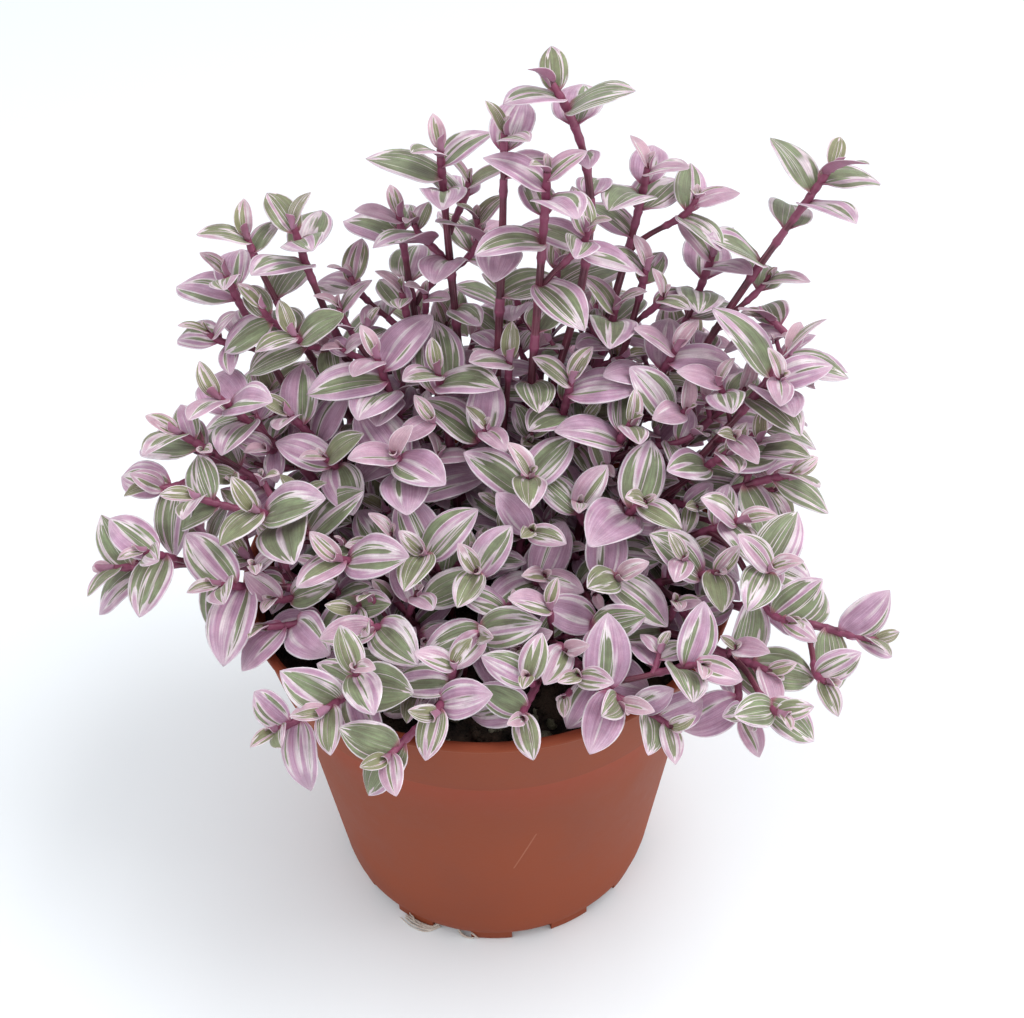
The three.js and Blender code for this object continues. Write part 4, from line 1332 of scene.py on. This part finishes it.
def blade_shape(
    base,
    along,
    over,
    length,
    breadth,
    fold=LEAF_FOLD,
    roll=None,
    droop=0.0,
    twist=0.0,
    wave=0.0,
    phase=0.0,
):
    """The rings of a blade and its tip, as points, with their places across and along it."""
    v = np.append(OUTLINE_V, 1.0)[:, None]
    width = np.append(OUTLINE_W, 0.0)[:, None]
    u = RING_U[None, :]
    half = length * FULL_SLENDERNESS * breadth * width / 2
    offset = half * u
    crease = CREASE * length * FULL_SLENDERNESS * breadth / 2
    steepness = fold + FOOT_FOLD * np.exp(-v / FOOT_REACH)
    raised = steepness * (np.sqrt(offset**2 + crease**2) - crease)
    raised = raised - ROLLED_MARGIN * half * u**4
    raised = raised + wave * length * np.sin(WAVES * v + phase) * u * np.abs(u)
    if roll:
        angle = offset / roll
        raised = raised + roll * (1 + ROLL_OVERLAP * u) * (1 - np.cos(angle))
        offset = roll * (1 + ROLL_OVERLAP * u) * np.sin(angle)
    bend = LEAF_ARCH * np.sin(np.pi * v) - droop * v**2
    skin = EDGE_THICKNESS / 2 + (THICKNESS - EDGE_THICKNESS) / 2 * np.sqrt(np.maximum(0, 1 - u**2))
    skin = skin * np.minimum(1, (1.03 - v) / 0.2)
    rib = MIDRIB * np.exp(-((u / MIDRIB_WIDTH) ** 2)) * (1 - v)
    groove = 0.5 * rib
    lift = np.where(IS_UNDER[None, :] > 0, -skin - rib, skin - groove)
    height = length * bend + raised + lift
    side = np.cross(over, along)
    turned = np.radians(twist) * v
    across = offset * np.cos(turned) - height * np.sin(turned)
    upright = height * np.cos(turned) + offset * np.sin(turned)
    points = (
        base
        + (length * v * np.ones_like(u))[..., None] * along
        + across[..., None] * side
        + upright[..., None] * over
    )
    rings = points[:-1].reshape(-1, 3)
    tip = points[-1].mean(axis=0)
    shares = np.broadcast_arrays(u, v[:-1], IS_UNDER[None, :])
    places = np.stack([share.ravel() for share in shares], axis=1)
    return np.vstack([rings, tip]), np.vstack([places, [0, 1, 0]])


def blade_faces():
    """The faces of every blade: strips between its rings, a foot and a fan at the tip."""
    count, rings = len(RING_U), len(OUTLINE_V)
    faces = strips(rings, count)
    last = (rings - 1) * count
    faces += [(last + k, last + (k + 1) % count, rings * count) for k in range(count)]
    faces.append(tuple(range(count - 1, -1, -1)))
    return faces


BLADE_FACES = blade_faces()
trial, _ = blade_shape(np.zeros(3), np.array([1.0, 0, 0]), np.array([0, 0, 1.0]), 16, 1)
size = trial.max(0) - trial.min(0)
print("A blade has", len(trial), "points; one 16 mm long is", round(float(size[1]), 1), "mm wide")

# %% [markdown]
# ## Stalks, nodes and sheaths
#
# The stalk is round and fleshy. At every leaf it has a swollen node, and above the node the foot
# of the leaf wraps the stalk in a short closed sheath. A curve given an even thickness would lose
# both, so we loft a tube along the curve ourselves, and let its radius rise over each sheath and
# fall sharply at its rim.

# %% One stalk
STALK_RADIUS = 0.97
STALK_TIP_RADIUS = 0.63
STALK_TAPER = 30
STALK_SIDES = 10
SHEATH_LENGTH = 3.4
SHEATH_PROUD = 0.17
NODE_PROUD = 0.2
SHEATH_OPENS = 0.35  # how much less the sheath stands out at its far end
NODE_REACH = 0.9
STATION_SPACING = 2.4
STATIONS_AT_LEAF = (-0.45, -0.1, 0.15, 1.6)
STATIONS_AT_NODE = (-0.5, 0, 0.5, 1.3)
NEAREST_STATIONS = 0.08
FOOT_DEPTH = 6.0  # how far a stalk stands in the soil


def stalk_shape(number, low):
    """The rings of a stalk from its foot to its tip, with how sheathed each point is."""
    axis = axes[number]
    backs = [leaf["back"] for leaf in leaves[number]]
    stations = set(np.arange(0, axis["length"], STATION_SPACING))
    for back in backs:
        stations |= {back + offset for offset in STATIONS_AT_LEAF}
        stations |= {back + SHEATH_LENGTH + offset for offset in STATIONS_AT_NODE}
    stations = sorted((s for s in stations if 0 <= s <= axis["length"]), reverse=True)
    points, sheathed = [], []
    turns = np.radians(np.arange(STALK_SIDES) * 360 / STALK_SIDES)
    if low:
        foot = axis["curve"][0]
        for depth in (FOOT_DEPTH, 0.5):
            ring = np.stack([np.cos(turns), np.sin(turns), np.zeros(STALK_SIDES)], axis=1)
            points.append(foot - UPWARDS * depth + ring * STALK_RADIUS)
            sheathed.append(0.0)
    previous = None
    for back in stations:
        if previous is not None and previous - back < NEAREST_STATIONS:
            continue
        previous = back
        taper = min(1, back / STALK_TAPER)
        radius = (STALK_TIP_RADIUS + (STALK_RADIUS - STALK_TIP_RADIUS) * taper) * axis["vigour"]
        wrap, swell = 0.0, 0.0
        for leaf_back in backs:
            into = back - leaf_back
            if 0 <= into <= SHEATH_LENGTH:
                wrap = max(wrap, 1 - SHEATH_OPENS * into / SHEATH_LENGTH)
            swell = max(swell, math.exp(-(((into - SHEATH_LENGTH) / NODE_REACH) ** 2)))
        radius += SHEATH_PROUD * wrap + NODE_PROUD * swell
        centre, _, east, north = frame_at(axis, back)
        ring = np.outer(np.cos(turns), east) + np.outer(np.sin(turns), north)
        points.append(centre + ring * radius)
        sheathed.append(max(wrap, swell))
    points.append(points[-1].mean(axis=0, keepdims=True) + axis["tip_heading"] * 0.4)
    return np.vstack(points), np.append(np.repeat(sheathed, STALK_SIDES), sheathed[-1])


def stalk_faces(count):
    """The faces of a stalk with this many points."""
    rings = (count - 1) // STALK_SIDES
    faces = [tuple(range(STALK_SIDES - 1, -1, -1))] + strips(rings, STALK_SIDES)
    last = (rings - 1) * STALK_SIDES
    faces += [(last + k, last + (k + 1) % STALK_SIDES, count - 1) for k in range(STALK_SIDES)]
    return faces


trial, _ = stalk_shape(0, True)
print("The first stalk has", len(trial), "points")

# %% [markdown]
# ## Putting a leafy stem together
#
# Every stem becomes one piece: its stalk and side shoots, their leaves, and at each tip a young
# leaf that is still rolled. A leaf's fold, twist and wave come from the same seeded draws as its
# place. Leaves could also be copies of one leaf, but then every piece would hold hundreds of
# objects, and all leaves would be alike. Two small vectors go with each point, and the materials
# read both. On a leaf *blade* holds the place across and along it, and whether it is on the
# underside, and *tint* holds a number of the leaf's own, how pink it is, and how young. On a
# stalk *blade* holds how sheathed it is and the place round it, and *tint* the stalk's number.

# %% Stalks and leaves with their vectors
BUD_LENGTH = 4.4
BUD_BREADTH = 1.35
BUD_ROLL = 0.95
YOUNG_ROLL = 5.0  # the radius to which the youngest open leaf is still rolled
FINE_DROOP = 0.09
# How long a leaf is, next to the frame's plain one: at some heights, at some distances from the
# axis if it is on a runner, and for the two youngest.
SIZES_AT = ((104, 122, 150, 190), (0.88, 1.0, 1.0, 0.9))
REACH_SIZES = ((70, 92), (1.0, 0.76))
YOUNG_SIZES = (0.8, 0.93)


def pinkness_of(stem, number, rank):
    """How pink a leaf is, from 0 to 1. Leaves of one stem are alike."""
    of_stem = STEMS[stem].get("pink", 0.56 + 0.1 * chance(stem, 40, 8))
    return min(1.0, max(0.0, of_stem + 0.42 * chance(number, rank, 9)))


def fine_length(leaf):
    """How long a fine leaf is, by its place and its age."""
    rank = leaf["rank"]
    x, y, z = leaf["base"]
    length = leaf["length"] * float(np.interp(z, *SIZES_AT))
    if z < RUNNER_HEIGHT:
        length *= float(np.interp(math.hypot(x, y), *REACH_SIZES))
    return length * YOUNG_SIZES[rank] if rank < len(YOUNG_SIZES) else length


def fine_stalk(stem, number):
    """A stalk's points and faces, and its two vectors."""
    shape, sheathed = stalk_shape(number, number == stem)
    around = np.arange(len(shape)) * 2 * np.pi / STALK_SIDES
    blade = np.stack([sheathed, np.cos(around), np.sin(around)], axis=1)
    return shape, stalk_faces(len(shape)), blade, (number, 0, 0)


def fine_leaf(stem, number, leaf):
    """A leaf's points and faces, and its two vectors."""
    rank = leaf["rank"]
    shape, blade = blade_shape(
        leaf["base"],
        leaf["along"],
        leaf["over"],
        fine_length(leaf),
        0.5 + 0.5 * leaf["breadth"],
        fold=LEAF_FOLD * (0.8 + 0.5 * chance(number, rank, 10)),
        roll=YOUNG_ROLL if rank == 0 else None,
        droop=FINE_DROOP * (1 + 0.8 * chance(number, rank, 11)),
        twist=9 * chance(number, rank, 12),
        wave=0.012 * chance(number, rank, 13),
        phase=3 * chance(number, rank, 14),
    )
    own_number = number + 0.37 * rank + 0.2 * chance(number, rank, 15)
    youth = max(0.0, 0.7 - 0.4 * rank)
    return shape, BLADE_FACES, blade, (own_number, pinkness_of(stem, number, rank), youth)


def rolled_leaf(number):
    """The young leaf at the tip of a stalk, and its two vectors."""
    axis = axes[number]
    end, up, east, north = frame_at(axis, 0)
    out = turned_between(east, north, -GOLDEN_ANGLE)
    along = unit(up + 0.12 * out)
    over = -square(out, along)
    foot = end - over * BUD_ROLL * 0.9 - up * 1.2
    length = BUD_LENGTH * axis["vigour"]
    shape, blade = blade_shape(foot, along, over, length, BUD_BREADTH, fold=0.0, roll=BUD_ROLL)
    return shape, BLADE_FACES, blade, (number + 0.61, 0.6, 0.8)


print("The first leaf is", round(fine_length(leaves[0][0]), 1), "mm long")


# %% One leafy stem
def leafy_stem(stem):
    """A stem with its shoots and leaves, as one piece that carries the two vectors."""
    parts, slots = [], []
    for number, axis in enumerate(axes):
        if axis["stem"] == stem:
            stalk = fine_stalk(stem, number)
            blades = [fine_leaf(stem, number, leaf) for leaf in leaves[number]]
            blades.append(rolled_leaf(number))
            parts += [stalk, *blades]
            slots += [0] * len(stalk[1]) + [1] * len(BLADE_FACES) * len(blades)
    name = f"tradescantia_stem_{stem + 1:02d}"
    piece = new_piece(name, *gathered([part[:2] for part in parts]))
    piece.data.polygons.foreach_set("material_index", np.array(slots, np.int32))
    blade_values = [blade for _, _, blade, _ in parts]
    tint_values = [np.tile(tint, (len(shape), 1)) for shape, _, _, tint in parts]
    for label, values in (("blade", blade_values), ("tint", tint_values)):
        layer = piece.data.attributes.new(label, "FLOAT_VECTOR", "POINT")
        layer.data.foreach_set("vector", np.vstack(values).astype(np.float32).ravel())
    return piece


leafy_stems = [leafy_stem(stem) for stem in range(len(STEMS))]
faces_in_all = sum(len(piece.data.polygons) for piece in leafy_stems)
print(len(leafy_stems), "leafy stems with", faces_in_all, "faces")

# %% [markdown]
# ## The striped leaf
#
# The stripes run from the foot of the blade to its tip and never cross: they are lines of equal
# *across*. Real ones start where the leaf grows from, and each leaf has its own. A drawn picture
# would give all leaves the same, so the pattern is noise that changes fast across and slowly
# along, moved on by the leaf's own number. Where it is high the leaf is green, where it is low it
# is lilac pink, and the border between them is cream, in places. The margin and the tip are
# always pale, a finer noise draws thin pale lines in the green, and the foot is crimson. Young
# leaves are duller, towards olive and dusty rose.

# %% The group that draws the stripes
SAGE = (0.262, 0.33, 0.18, 1)
DEEP_GREEN = (0.198, 0.228, 0.13, 1)
CREAM = (0.78, 0.71, 0.72, 1)
LILAC = (0.565, 0.37, 0.5, 1)
ROSE = (0.49, 0.29, 0.405, 1)
OLIVE = (0.29, 0.29, 0.15, 1)
DUSTY_ROSE = (0.62, 0.42, 0.45, 1)
MARGIN = (0.84, 0.75, 0.79, 1)
VEIN = (0.8, 0.7, 0.78, 1)
CRIMSON = (0.36, 0.07, 0.15, 1)

stripes, given, result = new_group(
    "Leaf stripes",
    [
        ("Across", "Value", 0.0),
        ("Along", "Value", 0.5),
        ("Own number", "Value", 0.0),
        ("Pinkness", "Value", 0.5),
        ("Youth", "Value", 0.0),
        ("Bands", "Value", 2.2),
    ],
    [("Colour", "Color"), ("Ribs", "Value")],
)


def striped_noise(bands, drift, own, detail):
    """Noise that changes fast across a leaf and slowly along it."""
    across = maths(stripes, "MULTIPLY", given["Across"], bands)
    along = maths(stripes, "MULTIPLY", given["Along"], drift)
    x = maths(stripes, "MULTIPLY_ADD", given["Own number"], own, across)
    y = maths(stripes, "MULTIPLY_ADD", given["Own number"], own * 0.37, along)
    place = add_node(stripes, "CombineXYZ", {"X": x, "Y": y, "Z": given["Own number"]}).outputs[0]
    return noise_at(stripes, place, 1.0, detail)


def share(value, part):
    """A part of a value."""
    return maths(stripes, "MULTIPLY", value, part)


print("Sockets:", [item.name for item in stripes.interface.items_tree])


# %% Where the leaf is green, cream and pink
CONTRAST = 4.2
BALANCE = 0.62  # higher is greener
CREAM_STARTS = (0.0, 0.36)  # the field's values between which it comes in
GREEN_STARTS = (0.42, 0.5)

field = striped_noise(given["Bands"], 0.5, 13.7, 1.5)
field = maths(stripes, "MULTIPLY_ADD", maths(stripes, "SUBTRACT", field, 0.5), CONTRAST, BALANCE)
edge = maths(stripes, "ABSOLUTE", given["Across"])
margin = maths(stripes, "POWER", edge, 3.5)
tip = maths(stripes, "POWER", given["Along"], 5.0)
pale = maths(stripes, "MULTIPLY_ADD", margin, 0.75, share(tip, 0.9))
pale = maths(stripes, "SUBTRACT", pale, 0.75)
pale = maths(stripes, "MULTIPLY_ADD", given["Pinkness"], 1.5, pale)
field = maths(stripes, "SUBTRACT", field, pale)
green = stepped(stripes, field, *GREEN_STARTS)
cream = stepped(stripes, field, *CREAM_STARTS)
uneven = stepped(stripes, striped_noise(2.6, 0.8, 5.3, 1.0), 0.2, 0.45)
cream = maths(stripes, "MULTIPLY", cream, uneven)
cream = maths(stripes, "MULTIPLY_ADD", tip, 0.5, cream, clamp=True)
hair = maths(stripes, "SUBTRACT", striped_noise(3.6, 0.35, 31.0, 0.0), 0.5)
hair = maths(stripes, "ABSOLUTE", hair)
few = stepped(stripes, striped_noise(1.6, 0.5, 9.1, 0.0), 0.3, 0.48)
hair = maths(stripes, "MULTIPLY", stepped(stripes, hair, 0.036, 0.014), few)
green = maths(stripes, "MULTIPLY", green, maths(stripes, "SUBTRACT", 1.0, hair), clamp=True)
print("The field of the stripes takes", len(stripes.nodes), "nodes")

# %% The colours, veins, margin and foot
tone = stepped(stripes, striped_noise(4.0, 2.5, 3.1, 3.0), 0.35, 0.65)
green_colour = blended(stripes, tone, DEEP_GREEN, SAGE)
green_colour = blended(stripes, given["Youth"], green_colour, OLIVE)
pink_colour = blended(stripes, tone, ROSE, LILAC)
pink_colour = blended(stripes, given["Youth"], pink_colour, DUSTY_ROSE)
ground = blended(stripes, cream, pink_colour, CREAM)
colour = blended(stripes, green, ground, green_colour)
veins = stepped(stripes, striped_noise(24.0, 1.2, 17.0, 1.0), 0.62, 0.38)
colour = blended(stripes, share(veins, 0.8), colour, VEIN, "MULTIPLY")
rim = stepped(stripes, edge, 0.9, 0.96)
colour = blended(stripes, share(rim, 0.9), colour, MARGIN)
foot = stepped(stripes, given["Along"], 0.13, 0.02)
colour = blended(stripes, share(foot, 0.75), colour, CRIMSON)
stripes.links.new(colour, result["Colour"])
ribs = maths(stripes, "SINE", share(given["Across"], 42.0))
stripes.links.new(ribs, result["Ribs"])
print("With its colours it takes", len(stripes.nodes), "nodes")

# %% [markdown]
# ## Leaf and stalk materials
#
# The leaf's upper side takes its colour from the stripes, and its underside is plain mauve to
# purple. Leaves are satin, slightly fleshy and let a little light through, which a small amount
# of subsurface scattering gives. Stalks are burgundy, brighter magenta on the nodes and paler
# on the sheaths, with fine streaks along them.

# %% Leaf material
UNDER_LIGHT = (0.44, 0.22, 0.33, 1)
UNDER_DARK = (0.31, 0.13, 0.2, 1)
GRAIN_LIGHT = (1, 1, 1, 1)
GRAIN_DARK = (0.74, 0.72, 0.74, 1)

leaf_skin, tree, shader = new_material(
    "striped_leaf",
    Roughness=0.5,
    Specular_IOR_Level=0.35,
    Subsurface_Weight=0.12,
    Subsurface_Radius=(0.004, 0.002, 0.002),
    Subsurface_Scale=0.3,
    Sheen_Weight=0.08,
)
on_blade = read_vector(tree, "blade")
own = read_vector(tree, "tint")
drawn = use_group(
    tree,
    stripes,
    {
        "Across": on_blade["X"],
        "Along": on_blade["Y"],
        "Own number": own["X"],
        "Pinkness": own["Y"],
        "Youth": own["Z"],
    },
)
below = mottled(tree, 0.008, 0.4, UNDER_LIGHT, UNDER_DARK)
grainy = mottled(tree, 0.004, 0.9, GRAIN_LIGHT, GRAIN_DARK)
above = blended(tree, 1.0, drawn["Colour"], grainy["Colour"], "MULTIPLY")
colour = blended(tree, on_blade["Z"], above, below["Colour"])
tree.links.new(colour, shader.inputs["Base Color"])
add_relief(tree, shader, 0.0007, 0.25, ribs=drawn["Ribs"])
print(leaf_skin.name, "has", len(tree.nodes), "nodes")

# %% Stalk material
BURGUNDY = (0.155, 0.03, 0.055, 1)
DARK_BURGUNDY = (0.07, 0.014, 0.026, 1)
NODE_MAGENTA = (0.25, 0.06, 0.12, 1)
STREAK_PALE = (0.3, 0.13, 0.17, 1)

stalk_skin, tree, shader = new_material("burgundy_stalk", Roughness=0.4, Specular_IOR_Level=0.4)
tone = mottled(tree, 0.006, 0.8, BURGUNDY, DARK_BURGUNDY)
on_stalk = read_vector(tree, "blade")
own = read_vector(tree, "tint")["X"]
spot = add_node(tree, "TexCoord").outputs["Object"]
height = add_node(tree, "SeparateXYZ", {"Vector": spot}).outputs["Z"]
x = maths(tree, "MULTIPLY_ADD", on_stalk["Y"], 2.6, maths(tree, "MULTIPLY", own, 7.1))
y = maths(tree, "MULTIPLY", on_stalk["Z"], 2.6)
z = maths(tree, "MULTIPLY", height, 90.0)
round_stalk = add_node(tree, "CombineXYZ", {"X": x, "Y": y, "Z": z}).outputs[0]
streaks = stepped(tree, noise_at(tree, round_stalk, 1.0, 3.0), 0.48, 0.72)
streaks = maths(tree, "MULTIPLY", streaks, 0.6)
colour = blended(tree, streaks, tone["Colour"], STREAK_PALE)
colour = blended(tree, on_stalk["X"], colour, NODE_MAGENTA)
tree.links.new(colour, shader.inputs["Base Color"])
add_relief(tree, shader, 0.0005, 0.2)

for stem, piece in enumerate(leafy_stems):
    piece.data.materials.append(stalk_skin)
    piece.data.materials.append(leaf_skin)
    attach(piece, "root")
    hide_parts(f"leafy_stem_{stem + 1:02d}")
print("Dressed", len(leafy_stems), "leafy stems")

# %% [markdown]
# ## How well does it fit?
#
# We compare each fine stem with its plain one, and print how far the fine stems stand proud of
# the plain ones' boxes.

# %% Measuring
worst = 0.0
for stem, piece in enumerate(leafy_stems):
    low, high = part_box(f"leafy_stem_{stem + 1:02d}")
    places = np.array([v.co[:] for v in piece.data.vertices])
    proud = max((np.array(low) - places.min(0)).max(), (places.max(0) - np.array(high)).max())
    worst = max(worst, float(proud) / MM)
print("The fine stems stand at most", round(worst, 1), "mm proud of the plain ones")
